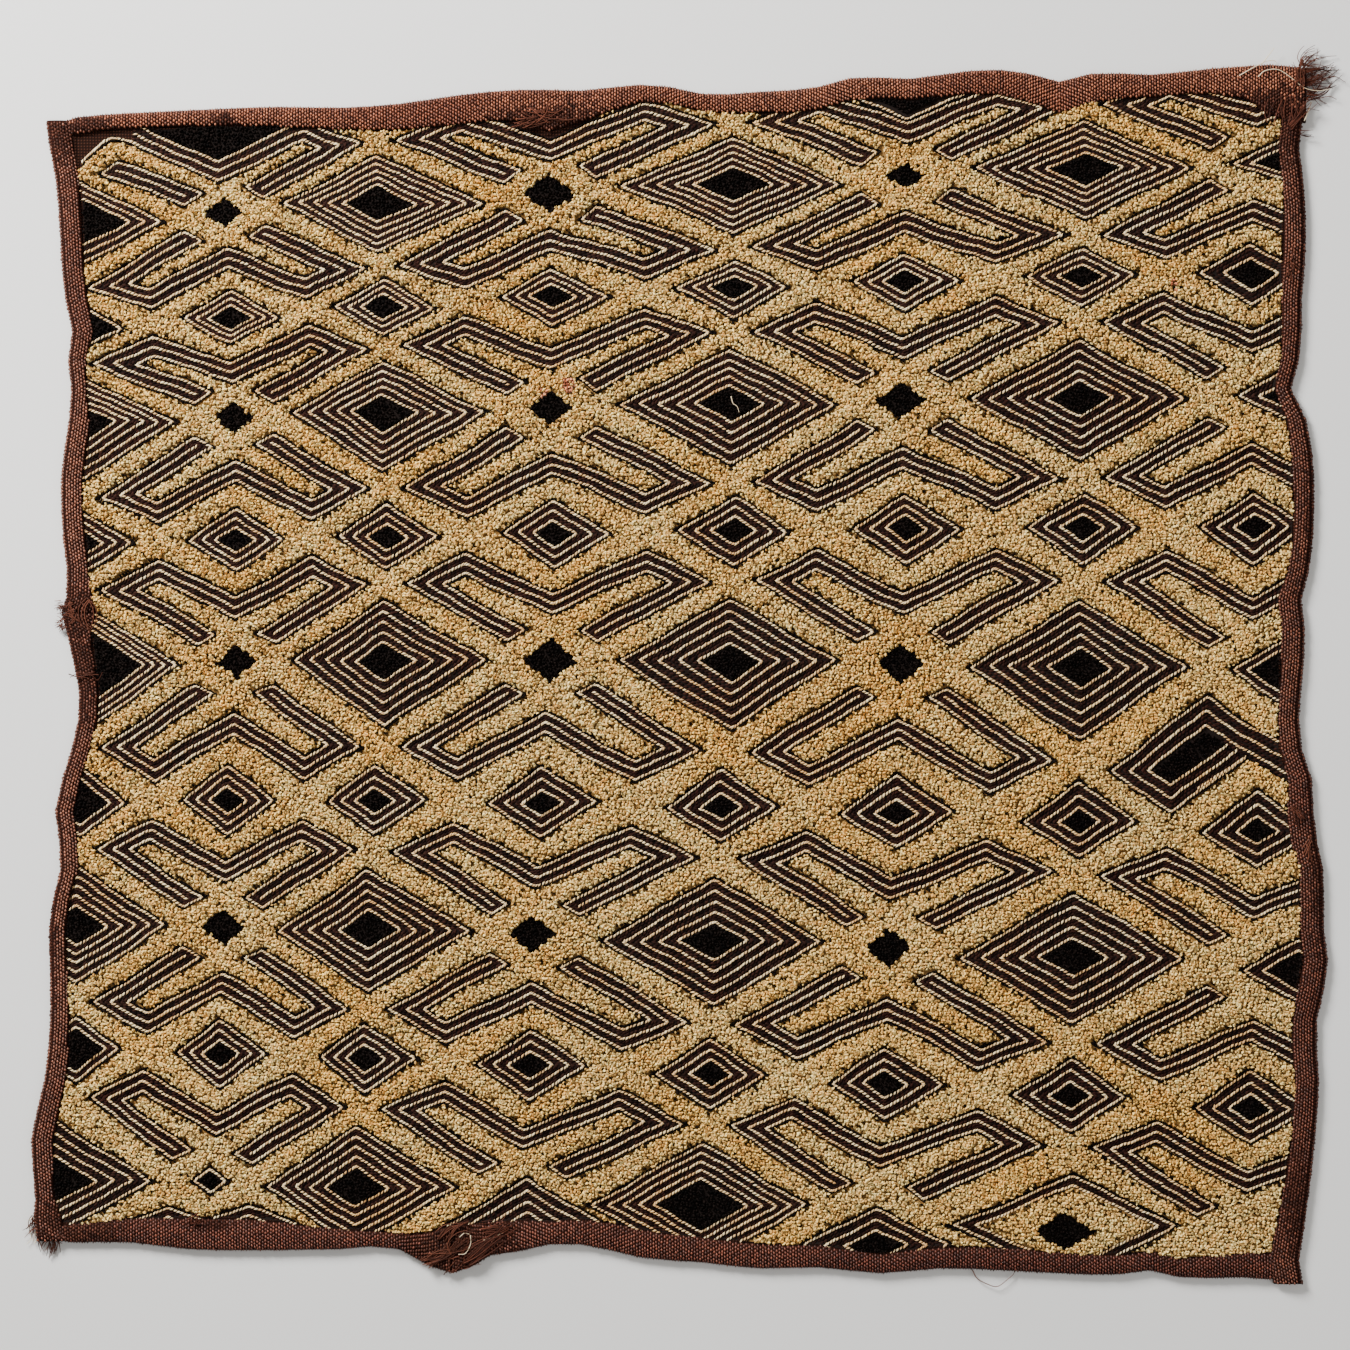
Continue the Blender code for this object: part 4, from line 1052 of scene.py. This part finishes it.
# Darker places of the bindings, worn and soiled spots and painted shade in the creased top left
# corner and along the side strips' shaded outer edges: photo pixels, middle and reach each way
DARK_SPOTS = table(
    "x y wide tall",
    (62, 138, 26, 26), (92, 126, 28, 12), (1262, 108, 50, 18), (1285, 130, 26, 40),
    (552, 122, 60, 18), (76, 616, 30, 30), (88, 668, 26, 52), (462, 1248, 60, 40),
    (80, 1226, 50, 26), (1306, 170, 11, 90), (1318, 860, 10, 90), (226, 122, 12, 12),
    (52, 900, 7, 120), (1312, 520, 9, 80), (1296, 1200, 12, 60), (216, 1222, 20, 10),
)


def in_pixels(points):
    """Chart places as places in the photograph's frame."""
    return points[:, 0] / PIXEL + PHOTO_MIDDLE[0], PHOTO_MIDDLE[1] - points[:, 1] / PIXEL


def darkness(points):
    """How dark each place of the bindings is, from 0 to 1."""
    x, y = in_pixels(points)
    found = np.zeros(len(points))
    for across, down, wide, tall in rows_of(DARK_SPOTS):
        away = np.hypot((x - across) / wide, (y - down) / tall)
        found = np.maximum(found, np.clip(DARK_FULL - DARK_FADE * away, 0, 1))
    return found


def fold_point(turn):
    """Inward distance and height on the fold, from its upper side at 0 degrees to its lower at 180."""
    angle = math.radians(turn)
    return FOLD_REACH - FOLD_DEEP * math.sin(angle), FOLD_MIDDLE + FOLD_HALF * math.cos(angle)


def face_of_strip(at, inward, width):
    """Height of a strip's crowned and slightly puckered face."""
    share = np.clip((inward - FOLD_REACH) / (width - FOLD_REACH), 0, 1)
    pucker = sum(size * np.sin(at / along + inward / across) for size, along, across in PUCKERS)
    return STRIP_HIGH + CROWN * np.sin(math.pi * share) - DROP * share**2 + pucker * share


def pressed(at, start, end, tucks):
    """How far a strip's ends are pressed down where they pass under their neighbours."""
    under = [np.clip(1 - away / TUCK, 0, 1) * tuck for away, tuck in zip((at - start, end - at), tucks)]
    return PRESS * np.maximum(*under)


def strip_places(start, end):
    """Even places along a strip, both its ends too."""
    return np.linspace(start, end, max(2, round((end - start) / STRIP_STEP)) + 1)


def folded_sheet(name, side, start, end, tucks, cloth):
    """A binding's thin cloth: its face, its fold and its underside."""
    tab, place = SIDES[side]
    at = strip_places(start, end)
    edge, width = along_side(tab, "edge", at), along_side(tab, "width", at)
    press = pressed(at, start, end, tucks)
    rows = []
    for share in FACE_SHARES:
        inward = FOLD_REACH + (width - FOLD_REACH) * share
        rows.append((inward, face_of_strip(at, inward, width) - press))
    for turn in SHEET_TURNS:
        inward, height = fold_point(turn)
        rows.append((inward + press, np.full(len(at), height)))
    rows.append((width, np.full(len(at), STRIP_LOW)))
    points = [np.column_stack((*place(at, edge - inward), height)) for inward, height in rows]
    count = len(at)
    faces = [
        (first + k, first + k + 1, first + count + k + 1, first + count + k)
        for first in range(0, (len(rows) - 1) * count, count) for k in range(count - 1)
    ]
    sheet = add_mesh(name + "_sheet", np.vstack(points), faces, [cloth], name)
    solidify = sheet.modifiers.new("thickness", "SOLIDIFY")
    solidify.thickness = CLOTH_THIN * MM
    solidify.offset = 0.0
    return sheet


def build_strip(name, side, start, end, tucks, cloth, threads):
    """One woven binding: a thin folded sheet, and the weave's threads over its face and fold."""
    tab, place = SIDES[side]
    start, end = start - TUCK * tucks[0], end + TUCK * tucks[1]
    sheet = folded_sheet(name, side, start, end, tucks, cloth)
    run, out = (np.array((*place(*way), 0.0)) for way in ((1.0, 0.0), (0.0, 1.0)))
    upright = side in UPRIGHT
    pitch_in, pitch_on = (COLUMN, THREAD) if upright else (THREAD / 2, 2 * COLUMN)
    turns = FOLD_TURNS if upright else ACROSS_TURNS
    lie = THREAD_SLANT if upright else 90.0 + THREAD_SLANT
    widest = along_side(tab, "width", strip_places(start, end)).max()
    made = []
    for j in range(-len(turns) + 1, int(widest / pitch_in) + 1):
        spots = np.arange(start + END_CLEAR + (j % 2) * pitch_on / 2, end - END_CLEAR, pitch_on)
        edge, width = along_side(tab, "edge", spots), along_side(tab, "width", spots)
        press = pressed(spots, start, end, tucks)
        line = unit(run + out * np.gradient(edge, spots)[:, None])
        kept = np.full(len(spots), True)
        if j > 0:
            inward, tilt = FOLD_REACH + FACE_START + (j - 0.5) * pitch_in, 0.0
            height = face_of_strip(spots, inward, width) + CLOTH_THIN * THREAD_BASE - press
            kept = inward < width - INNER_CLEAR
        else:
            tilt = math.radians(turns[-j])
            inward, height = fold_point(turns[-j])
            inward, height = inward + press, np.full(len(spots), height)
        up = out * math.sin(tilt) + UP * math.cos(tilt)
        turn = np.radians(lie + RNG.normal(0.0, THREAD_SPREAD, len(spots)))[:, None]
        way = line * np.cos(turn) + np.cross(up, line) * np.sin(turn)
        spots = np.column_stack((*place(spots, edge - inward), height))
        made.append((spots[kept], way[kept], np.tile(up, (kept.sum(), 1))))
    middle, way, up = (np.vstack(got) for got in zip(*made))
    count = len(middle)
    middle = middle + RNG.normal(0.0, PLACE_SPREAD, middle.shape) * (1, 1, 0.3)
    sizes = varied((THREAD * THREAD_LONG, COLUMN, THREAD_RISE), THREAD_SHARES, count)
    got, faces = grains(middle, way, up, *sizes, THREAD_RIDGE)
    got[:, 2] = np.maximum(got[:, 2], FLOOR_GAP)
    # Threads at the dark places take the darker material: wear and soil, and painted shade in the creases
    # and on the shaded outer edges
    wear_and_shade = RNG.random(count) < darkness(middle)
    weave = add_mesh(name + "_weave", got, faces, threads, name, True, np.repeat(wear_and_shade, len(GRAIN_FACES)))
    flat = ((end - start) * MM, float(2 * width.mean() + FOLD_FLAT) * MM)
    return sheet, weave, flat


FIBRE_TIP = 0.45
FIBRE_ANGLES = (-2.6, -0.52, 1.57)


def fibre(path, radius, steps=7):
    """A thin three-sided tube along a smooth curve through a few points, as points and triangles."""
    path = np.array(path, dtype=float)
    ends = np.vstack((2 * path[0] - path[1], path, 2 * path[-1] - path[-2]))
    line = []
    for a, b, c, d in zip(ends, ends[1:], ends[2:], ends[3:]):
        for t in np.linspace(0, 1, steps, endpoint=False):
            line.append(0.5 * (2 * b + (c - a) * t + (2 * a - 5 * b + 4 * c - d) * t**2
                               + (3 * b - a - 3 * c + d) * t**3))
    line = np.array(line + [path[-1]])
    heading = np.gradient(line, axis=0)
    heading /= np.linalg.norm(heading, axis=1)[:, None] + TINY
    side = np.cross(heading, (0.0, 0.0, 1.0))
    side /= np.linalg.norm(side, axis=1)[:, None] + TINY
    rise = np.cross(side, heading)
    taper = np.linspace(1.0, FIBRE_TIP, len(line))[:, None] * radius
    rings = [line + (side * math.cos(a) + rise * math.sin(a)) * taper for a in FIBRE_ANGLES]
    faces = []
    for k in range(0, 3 * len(line) - 3, 3):
        for a, b in ((k, k + 1), (k + 1, k + 2), (k + 2, k)):
            faces += [(a, b, b + 3), (a, b + 3, a + 3)]
    faces += [(2, 1, 0), (3 * len(line) - 3, 3 * len(line) - 2, 3 * len(line) - 1)]
    return np.stack(rings, axis=1).reshape(-1, 3), np.array(faces)


def joined(parts):
    """Several point and triangle sets as one."""
    starts = np.cumsum([0] + [len(points) for points, _ in parts])
    faces = [found + start for (_, found), start in zip(parts, starts)]
    return np.vstack([points for points, _ in parts]), np.vstack(faces)


def at_pixel(x, y, z):
    """A place in the photograph's frame as chart millimetres."""
    return (x - PHOTO_MIDDLE[0]) * PIXEL, (PHOTO_MIDDLE[1] - y) * PIXEL, z


# Tangles of loose fibres: middle and reach in photo pixels, lie in degrees and its spread,
# number, length in millimetres, bend in degrees, height at each end, 1 where they start there,
# and how many lie together in one clump
TANGLES = table(
    "x y wide tall angle spread count length bend low high held clump",
    (487, 1246, 12, 9, 40, 6, 24, 22, -14, 3.8, 4.2, 0, 3),
    (448, 1248, 12, 8, 14, 10, 18, 18, 50, 3.9, 4.3, 0, 3),
    (438, 1254, 10, 7, 24, 16, 14, 10, 20, 3.6, 3.9, 0, 2),
    (458, 1230, 10, 5, 50, 10, 12, 14, -40, 4.0, 4.3, 0, 3),
    (500, 1226, 14, 4, 6, 12, 14, 12, 10, 3.9, 4.1, 0, 2),
    (455, 1264, 14, 4, 20, 14, 14, 8, 30, 2.8, 3.6, 0, 2),
    (548, 116, 34, 8, 8, 26, 26, 9, 50, 4.0, 4.4, 0, 2),
    (530, 126, 24, 5, 6, 12, 12, 12, 14, 3.7, 3.9, 0, 2),
    (1301, 84, 3, 12, 8, 26, 24, 17, 40, 3.2, 1.0, 1, 3),
    (1301, 74, 3, 8, 36, 30, 20, 15, -60, 3.4, 1.0, 1, 3),
    (1300, 66, 4, 5, 74, 26, 14, 11, -80, 3.4, 1.4, 1, 2),
    (1303, 98, 3, 9, -6, 26, 16, 14, 60, 3.2, 0.9, 1, 2),
    (1309, 80, 6, 13, 0, 70, 14, 8, 120, 2.6, 2.2, 0, 1),
    (1297, 76, 4, 9, 88, 12, 12, 9, 20, 3.9, 4.2, 0, 2),
    (1282, 110, 8, 10, 96, 12, 5, 13, -30, 4.1, 4.4, 0, 1),
    (1296, 108, 7, 8, 84, 14, 7, 11, 16, 3.9, 4.2, 0, 1),
    (1288, 128, 2, 2, 50, 6, 8, 15, 10, 4.1, 3.6, 1, 4),
    (1299, 136, 2, 6, 0, 20, 5, 6, 20, 3.0, 2.4, 1, 1),
    (63, 606, 2, 5, 165, 26, 16, 3.5, 40, 3.0, 2.0, 1, 2),
    (64, 624, 2, 7, 190, 30, 24, 3.5, 40, 3.0, 2.0, 1, 2),
    (73, 612, 6, 12, 100, 40, 28, 6, 50, 3.8, 4.1, 0, 2),
    (85, 674, 12, 3, 176, 8, 6, 7, 16, 4.0, 4.1, 0, 1),
    (38, 1220, 5, 12, 236, 24, 28, 9, 30, 2.6, 0.9, 1, 2),
    (55, 1240, 5, 4, 262, 10, 18, 7, -16, 2.4, 0.7, 1, 3),
    (46, 1236, 10, 5, 250, 30, 16, 6, 30, 2.4, 0.8, 1, 2),
    (1288, 266, 5, 12, 84, 24, 12, 6, 30, 4.0, 4.4, 0, 2),
    (1294, 812, 7, 12, 118, 24, 14, 8, 24, 4.1, 4.5, 0, 2),
    (1306, 846, 4, 12, 80, 14, 10, 7, 20, 4.0, 4.3, 0, 2),
    (196, 1219, 8, 5, 50, 30, 12, 6, 30, 3.9, 4.2, 0, 2),
)
FIBRE_RADIUS = 0.26
# Each fibre: its legs, and how its tangle's places, curls and directions vary
LEGS = 4
TANGLE_SPREAD = 0.45
CURL_SPREAD = 0.4
LIE_SPREAD = 4.0
WANDER = 0.12
HEIGHT_SPREAD = 0.3


def tangle_fibres():
    """Every tangle's fibres, each a short curve, beside its neighbours in a clump."""
    made = []
    for tangle in rows_of(TANGLES):
        x, y, wide, tall, angle, spread, count, length, bend, low, high, held, clump = tangle
        for number in range(int(count)):
            if number % clump == 0:
                shift = RNG.normal(0.0, TANGLE_SPREAD, 2) * (wide, tall)
                aim = RNG.normal(angle, spread)
                curl = math.radians(bend) * RNG.normal(1.0, CURL_SPREAD)
            across, down = shift + RNG.normal(0.0, 1.0, 2)
            start = np.array(at_pixel(x + across, y + down, low + HEIGHT_SPREAD * RNG.random()))
            way = math.radians(aim + RNG.normal(0.0, LIE_SPREAD))
            reach = length * RNG.uniform(0.65, 1.2) / LEGS
            path = [start]
            for _ in range(LEGS):
                step = np.array((math.cos(way), math.sin(way), (high - low) / (LEGS * reach)))
                path.append(path[-1] + step * reach)
                way += curl / LEGS + RNG.normal(0.0, WANDER)
            middle = ((path[0] + path[-1]) / 2 - start) * (1, 1, 0)
            made.append(fibre([spot - middle * (1 - held) for spot in path], FIBRE_RADIUS, 2))
    return made


# Materials
STREAK = 900.0
# Painted shade in the gaps between cut ends: scale of its flecks, and how it darkens away from the ends
FLECK_SHADE = 1000.0
FLECK_RANGE = {"From Min": 0.42, "From Max": 0.72, "To Min": 1.0, "To Max": 0.25}
# Painted shade at the roots: how dark it gets, as a share of the dark tone
ROOT_SHADE = 0.25
GLOSS = 0.15
WEAVE_PITCH = 1.4


def nodes_of(name, roughness, sheen, gloss=GLOSS):
    """A new material, with its node tree and shader."""
    material = bpy.data.materials.new(name)
    material.use_nodes = True
    shader = material.node_tree.nodes["Principled BSDF"]
    shader.inputs["Roughness"].default_value = roughness
    shader.inputs["Sheen Weight"].default_value = sheen
    shader.inputs["Specular IOR Level"].default_value = gloss
    return material, material.node_tree, shader


def add_node(tree, kind, inputs, **settings):
    """A new node with its settings; each input takes a value, or a link from an output."""
    made = tree.nodes.new("ShaderNode" + kind)
    for name, value in settings.items():
        setattr(made, name, value)
    for name, value in inputs.items():
        if isinstance(value, bpy.types.NodeSocket):
            tree.links.new(value, made.inputs[name])
        else:
            made.inputs[name].default_value = value
    return made


def add_ramp(tree, dark, light, share):
    """The colour between two tones that a share picks."""
    ramp = add_node(tree, "ValToRGB", {"Fac": share})
    for stop, tone in zip(ramp.color_ramp.elements, (dark, light)):
        stop.color = (*tone, 1)
    return ramp.outputs["Color"]


def add_mix(tree, blend, factor, a, b):
    """Two colours mixed."""
    inputs = {"Factor": factor, "A": a, "B": b}
    return add_node(tree, "Mix", inputs, data_type="RGBA", blend_type=blend).outputs["Result"]


def add_bump(tree, shader, height, strength, distance):
    """The shader's bump from a height."""
    bump = add_node(tree, "Bump", {"Strength": strength, "Distance": distance, "Height": height})
    tree.links.new(bump.outputs["Normal"], shader.inputs["Normal"])


def fibre_material(
    name, dark, light, warm, roughness, sheen=0.0, gloss=GLOSS, shaded_roots=None, patch=12.0, fleck_shade=0.0
):
    """Raffia: each strand its own tone between dark and light, patches of a warmer one,
    a fine streak in its bump, painted shade darkening the low parts near the roots, between
    the root heights it is given, and painted shade as fine dark flecks in the gaps between
    cut ends, at the scale it is given for them."""
    material, tree, shader = nodes_of(name, roughness, sheen, gloss)
    geometry = add_node(tree, "NewGeometry", {})
    tone = add_ramp(tree, dark, light, geometry.outputs["Random Per Island"])
    place = add_node(tree, "TexCoord", {}).outputs["Object"]
    cloud = add_node(tree, "TexNoise", {"Scale": patch, "Detail": 4.0, "Roughness": 0.6, "Vector": place})
    share = add_node(tree, "MapRange", {"From Min": 0.42, "From Max": 0.62, "Value": cloud.outputs["Fac"]})
    colour = add_mix(tree, "MULTIPLY", share.outputs["Result"], tone, (*warm, 1))
    # Painted shade: darker towards the roots, low between grains and tufts, where less light reaches
    if shaded_roots:
        low, high, least = shaded_roots
        split = add_node(tree, "SeparateXYZ", {"Vector": geometry.outputs["Position"]})
        heights = {"From Min": low * MM, "From Max": high * MM, "To Min": least, "Value": split.outputs["Z"]}
        depth = add_node(tree, "MapRange", heights)
        root = (*(ROOT_SHADE * part for part in dark), 1)
        colour = add_mix(tree, "MIX", depth.outputs["Result"], root, colour)
    # Painted shade: dark flecks in the gaps between cut ends
    if fleck_shade:
        ends = add_node(tree, "TexVoronoi", {"Scale": fleck_shade, "Vector": place})
        gap_shade = add_node(tree, "MapRange", {**FLECK_RANGE, "Value": ends.outputs["Distance"]})
        colour = add_mix(tree, "MULTIPLY", 1.0, colour, gap_shade.outputs["Result"])
    tree.links.new(colour, shader.inputs["Base Color"])
    grain = add_node(tree, "TexNoise", {"Scale": STREAK, "Detail": 2.0, "Vector": place})
    add_bump(tree, shader, grain.outputs["Fac"], 0.5, 0.0003)
    return material


def weave_material(name, dark, light):
    """A plain weave: crossed threads in colour and bump."""
    material, tree, shader = nodes_of(name, 0.85, 0.0, 0.05)
    place = add_node(tree, "TexCoord", {}).outputs["Object"]
    inputs = {"Scale": math.pi / (10 * WEAVE_PITCH * MM), "Distortion": 0.6, "Vector": place}
    waves = [add_node(tree, "TexWave", inputs, bands_direction=way).outputs["Fac"] for way in ("X", "Y")]
    cross = add_node(tree, "Math", dict(enumerate(waves)), operation="MULTIPLY").outputs["Value"]
    tree.links.new(add_ramp(tree, dark, light, cross), shader.inputs["Base Color"])
    add_bump(tree, shader, cross, 0.6, 0.0004)
    return material


# Loose fibres: height, and points in the photograph's frame
PALE_STRANDS = (
    (3.9, ((1257, 78), (1264, 72), (1277, 71), (1290, 79), (1303, 89), (1317, 92), (1330, 90))),
    (4.0, ((1238, 77), (1252, 69), (1264, 63), (1273, 62), (1276, 66))),
    (4.0, ((1260, 66), (1267, 57), (1273, 49))),
    (3.7, ((1303, 122), (1308, 110), (1310, 103))),
    (1.0, ((36, 1216), (29, 1221), (30, 1231), (32, 1238), (27, 1244))),
    (1.2, ((38, 1226), (35, 1234), (33, 1242))),
    (1.2, ((42, 1230), (38, 1238), (34, 1244))),
    (1.5, ((45, 1232), (42, 1238), (50, 1240), (56, 1237))),
    (4.3, ((471, 1234), (471, 1243), (466, 1252), (459, 1253))),
    (4.2, ((460, 1236), (465, 1232), (470, 1233))),
    (3.9, ((484, 1239), (496, 1235), (506, 1230))),
    (3.9, ((731, 397), (733, 404), (737, 407), (739, 413))),
)
RED_STRANDS = (
    (1.6, ((972, 1269), (977, 1278), (988, 1284), (997, 1286), (1006, 1280), (1014, 1272), (1011, 1265))),
    (4.2, ((1290, 131), (1297, 122), (1306, 112), (1310, 104))),
    (4.2, ((1288, 128), (1296, 118), (1304, 110), (1318, 112))),
    (4.3, ((1272, 128), (1268, 116), (1274, 102), (1285, 96))),
    (4.3, ((1266, 124), (1263, 112), (1267, 100))),
    (4.4, ((1296, 92), (1303, 84), (1300, 72), (1290, 66))),
    (4.4, ((70, 674), (80, 677), (92, 675), (99, 680), (104, 672))),
    (4.3, ((90, 600), (85, 606), (83, 615), (86, 624), (92, 630))),
    (4.4, ((91, 601), (87, 607), (86, 615), (88, 623), (92, 628))),
    (4.3, ((90, 600), (96, 606), (98, 615), (96, 624), (92, 630))),
    (4.4, ((91, 602), (94, 608), (95, 615), (94, 622), (92, 627))),
    (4.2, ((88, 598), (81, 606), (80, 616), (84, 626), (93, 632))),
    (2.2, ((1302, 84), (1312, 86), (1322, 81), (1333, 74), (1338, 70))),
    (2.6, ((1302, 72), (1311, 70), (1321, 70), (1331, 72))),
    (2.4, ((1303, 67), (1309, 63), (1315, 60), (1317, 50))),
    (1.8, ((1303, 82), (1320, 80), (1334, 77), (1345, 83))),
    (2.0, ((1304, 96), (1316, 99), (1328, 97), (1336, 100))),
    (2.0, ((1304, 90), (1315, 95), (1324, 92), (1332, 84), (1341, 76))),
    (4.4, ((432, 1262), (445, 1257), (454, 1250), (457, 1241), (465, 1232), (478, 1228))),
    (4.4, ((452, 1254), (448, 1245), (451, 1237), (459, 1231), (468, 1229))),
    (4.3, ((464, 1262), (476, 1256), (488, 1247), (500, 1237), (516, 1228))),
    (4.3, ((470, 1264), (482, 1257), (494, 1249), (504, 1241))),
    (4.3, ((428, 1256), (438, 1250), (450, 1248))),
)
STRAND_RADIUS = 0.3
# Raffia of each kind: dark and light tone, warmer one, roughness, and the rest as fibre_material
# takes it: sheen, gloss, heights and depth of the painted shade at the roots, patches, and the
# scale of the painted shade in the gaps between cut ends; and what all threads share
THREAD_LOOK = ((0.66, 0.54, 0.50), 0.5, 0.05, 0.35, (2.4, 3.9, 0.4), 9.0)
FIBRES = {
    "pile_gold": (
        (0.78, 0.45, 0.13), (1.0, 0.78, 0.31), (1.0, 0.86, 0.62), 0.85,
        0.03, GLOSS, (1.5, 2.6, 0.25), 16.0, FLECK_SHADE,
    ),
    "pile_rust": (
        (0.45, 0.12, 0.05), (0.85, 0.36, 0.18), (1.0, 0.9, 0.8), 0.85,
        0.1, GLOSS, (1.5, 2.9, 0.35), 14.0, FLECK_SHADE,
    ),
    "pile_black": ((0.001, 0.0008, 0.0007), (0.008, 0.005, 0.004), (1, 0.9, 0.9), 0.9, 0.0, 0.06),
    "stitch_cream": (
        (0.60, 0.37, 0.17), (1.0, 0.81, 0.48), (1.0, 0.84, 0.64), 0.6,
        0.05, GLOSS, (1.6, 2.2, 0.35), 22.0,
    ),
    "stitch_dark": ((0.005, 0.002, 0.0015), (0.030, 0.012, 0.008), (1.0, 0.8, 0.8), 0.8, 0.0, 0.06),
    # Ground tones under the pile and under the stitched rows: painted shade, dark as the gaps between tufts
    # and stitches
    "ground_gold": ((0.22, 0.12, 0.035), (0.22, 0.12, 0.035), (1, 0.9, 0.8), 0.9),
    "ground_dark": ((0.006, 0.003, 0.002), (0.006, 0.003, 0.002), (1, 0.9, 0.9), 0.9),
    "binding_wear_and_shade": ((0.022, 0.007, 0.004), (0.11, 0.036, 0.020), (0.8, 0.7, 0.7), 0.6),
    "binding_thread_top": ((0.14, 0.038, 0.016), (0.48, 0.155, 0.068), *THREAD_LOOK),
    "binding_thread_left": ((0.084, 0.027, 0.013), (0.33, 0.111, 0.057), *THREAD_LOOK),
    "binding_thread_right": ((0.060, 0.017, 0.008), (0.26, 0.078, 0.036), *THREAD_LOOK),
    "binding_thread_bottom": ((0.055, 0.014, 0.007), (0.23, 0.060, 0.029), *THREAD_LOOK),
    "fibre_pale": ((0.75, 0.62, 0.42), (0.85, 0.72, 0.5), (1, 0.95, 0.9), 0.5),
    "fibre_red": ((0.030, 0.009, 0.005), (0.19, 0.060, 0.032), (0.7, 0.6, 0.6), 0.6),
}
WEAVES = {
    "ground_weave": ((0.008, 0.003, 0.002), (0.045, 0.016, 0.009)),
    # The bindings' sheet shows only in the gaps between threads: its dark tone is partly the cloth's own,
    # partly painted shade of those gaps
    "binding_cloth": ((0.010, 0.003, 0.002), (0.05, 0.014, 0.007)),
}
FLOOR_HALF = 3
FLOOR_DROP = 0.0001
FLOOR_TONE = (0.75, 0.74, 0.72, 1)
SKY_TONE = (1.0, 0.98, 0.95, 1)
SKY_STRENGTH = 0.36
LENS = 100.0
SENSOR = 36.0
# Lights: place, size and energy
LIGHTS = (
    ("key", (-1.1, 1.25, 0.9), 0.6, 112.0),
    ("fill", (1.2, -0.6, 1.3), 1.5, 10.0),
)


def dress_panel(raffia):
    """The embroidered panel: its ground, pile and stitches."""
    cells, hubs = embroidery()
    cells = dressed(cells)
    grounds = [raffia["ground_" + kind] for kind in ("gold", "dark", "weave")]
    ground, outline = build_ground(cells, hubs, grounds)
    parts = build_pile(cells, hubs, raffia["pile_gold"], raffia["pile_black"], raffia["pile_rust"])
    # Outline rows use the black pile's material, as painted shade in the gaps beside the pile
    for tone, material in (("cream", "stitch_cream"), ("dark", "stitch_dark"), ("outline", "pile_black")):
        parts.append(add_mesh("stitches_" + tone, *stitches(cells, tone), [raffia[material]]))
    for piece in [ground] + parts:
        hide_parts("panel")


def dress_bindings(raffia):
    """The six binding strips, each a folded sheet with its weave."""
    limits = strip_limits()
    gap = JOINT_GAP / 2
    strips = (
        ("binding_top", "top", *limits["top"], (1, 0)),
        ("binding_right", "right", *limits["right"], (0, 1)),
        ("binding_bottom_left", "bottom", limits["bottom"][0], SPLICE_BOTTOM - gap, (1, 0)),
        ("binding_bottom_right", "bottom", SPLICE_BOTTOM + gap, limits["bottom"][1], (0, 1)),
        ("binding_left_lower", "left", limits["left"][0], SPLICE_LEFT - gap, (0, 0)),
        ("binding_left_upper", "left", SPLICE_LEFT + gap, limits["left"][1], (0, 0)),
    )
    for name, side, start, end, tucks in strips:
        threads = [raffia["binding_thread_" + side], raffia["binding_wear_and_shade"]]
        sheet, weave, flat = build_strip(name, side, start, end, tucks, raffia["binding_cloth"], threads)
        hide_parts(name)
        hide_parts(name)


def dress_frays(raffia):
    """The loose fibres and strands."""
    pale, red = (
        [fibre([at_pixel(x, y, height) for x, y in path], STRAND_RADIUS) for height, path in strands]
        for strands in (PALE_STRANDS, RED_STRANDS)
    )
    pale_fray = add_mesh("fibres_pale", *joined(pale), [raffia["fibre_pale"]], "frayed_raffia")
    red_fray = add_mesh("fibres_red", *joined(tangle_fibres() + red), [raffia["fibre_red"]], "frayed_raffia")
    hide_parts("fray_top_right")
    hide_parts("fray_bottom_left")


def light_up():
    """The floor, the sky's light, the lamps, and the camera straight above, as in the photograph."""
    mesh = bpy.data.meshes.new("floor")
    corners = [(x * FLOOR_HALF, y * FLOOR_HALF, 0) for x, y in ((-1, -1), (1, -1), (1, 1), (-1, 1))]
    mesh.from_pydata(corners, [], [(0, 1, 2, 3)])
    floor = placed("floor", mesh)
    floor.location.z = -FLOOR_DROP
    surface, _, shader = nodes_of("floor", 0.9, 0.0)
    shader.inputs["Base Color"].default_value = FLOOR_TONE
    mesh.materials.append(surface)

    world = bpy.data.worlds.new("studio")
    world.use_nodes = True
    sky = world.node_tree.nodes["Background"].inputs
    sky["Color"].default_value = SKY_TONE
    sky["Strength"].default_value = SKY_STRENGTH
    bpy.context.scene.world = world
    for name, spot, size, energy in LIGHTS:
        light = bpy.data.lights.new(name, "AREA")
        light.size = size
        light.energy = energy
        lamp = placed(name, light)
        lamp.location = spot
        lamp.rotation_euler = (-Vector(spot)).to_track_quat("-Z", "Y").to_euler()

    lens = bpy.data.cameras.new("camera")
    lens.lens = LENS
    lens.sensor_width = SENSOR
    camera = placed("camera", lens)
    centre = (np.array(at_pixel(PHOTO_SIZE / 2, PHOTO_SIZE / 2, 0.0)) + SHIFT) * MM
    camera.location = (centre[0], centre[1], PHOTO_SIZE * PIXEL * MM * LENS / SENSOR)
    bpy.context.scene.camera = camera


def main():
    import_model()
    outline = border(PANEL_INSET, 0.0)
    middle = (outline.min(axis=0) + outline.max(axis=0)) / 2
    low, high = (np.array(corner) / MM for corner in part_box("panel"))
    SHIFT[:2] = (low[:2] + high[:2]) / 2 - middle

    raffia = {name: fibre_material(name, *looks) for name, looks in FIBRES.items()}
    raffia.update({name: weave_material(name, *tones) for name, tones in WEAVES.items()})
    dress_panel(raffia)
    dress_bindings(raffia)
    dress_frays(raffia)
    light_up()

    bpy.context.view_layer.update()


SHIFT = np.zeros(3)
main()
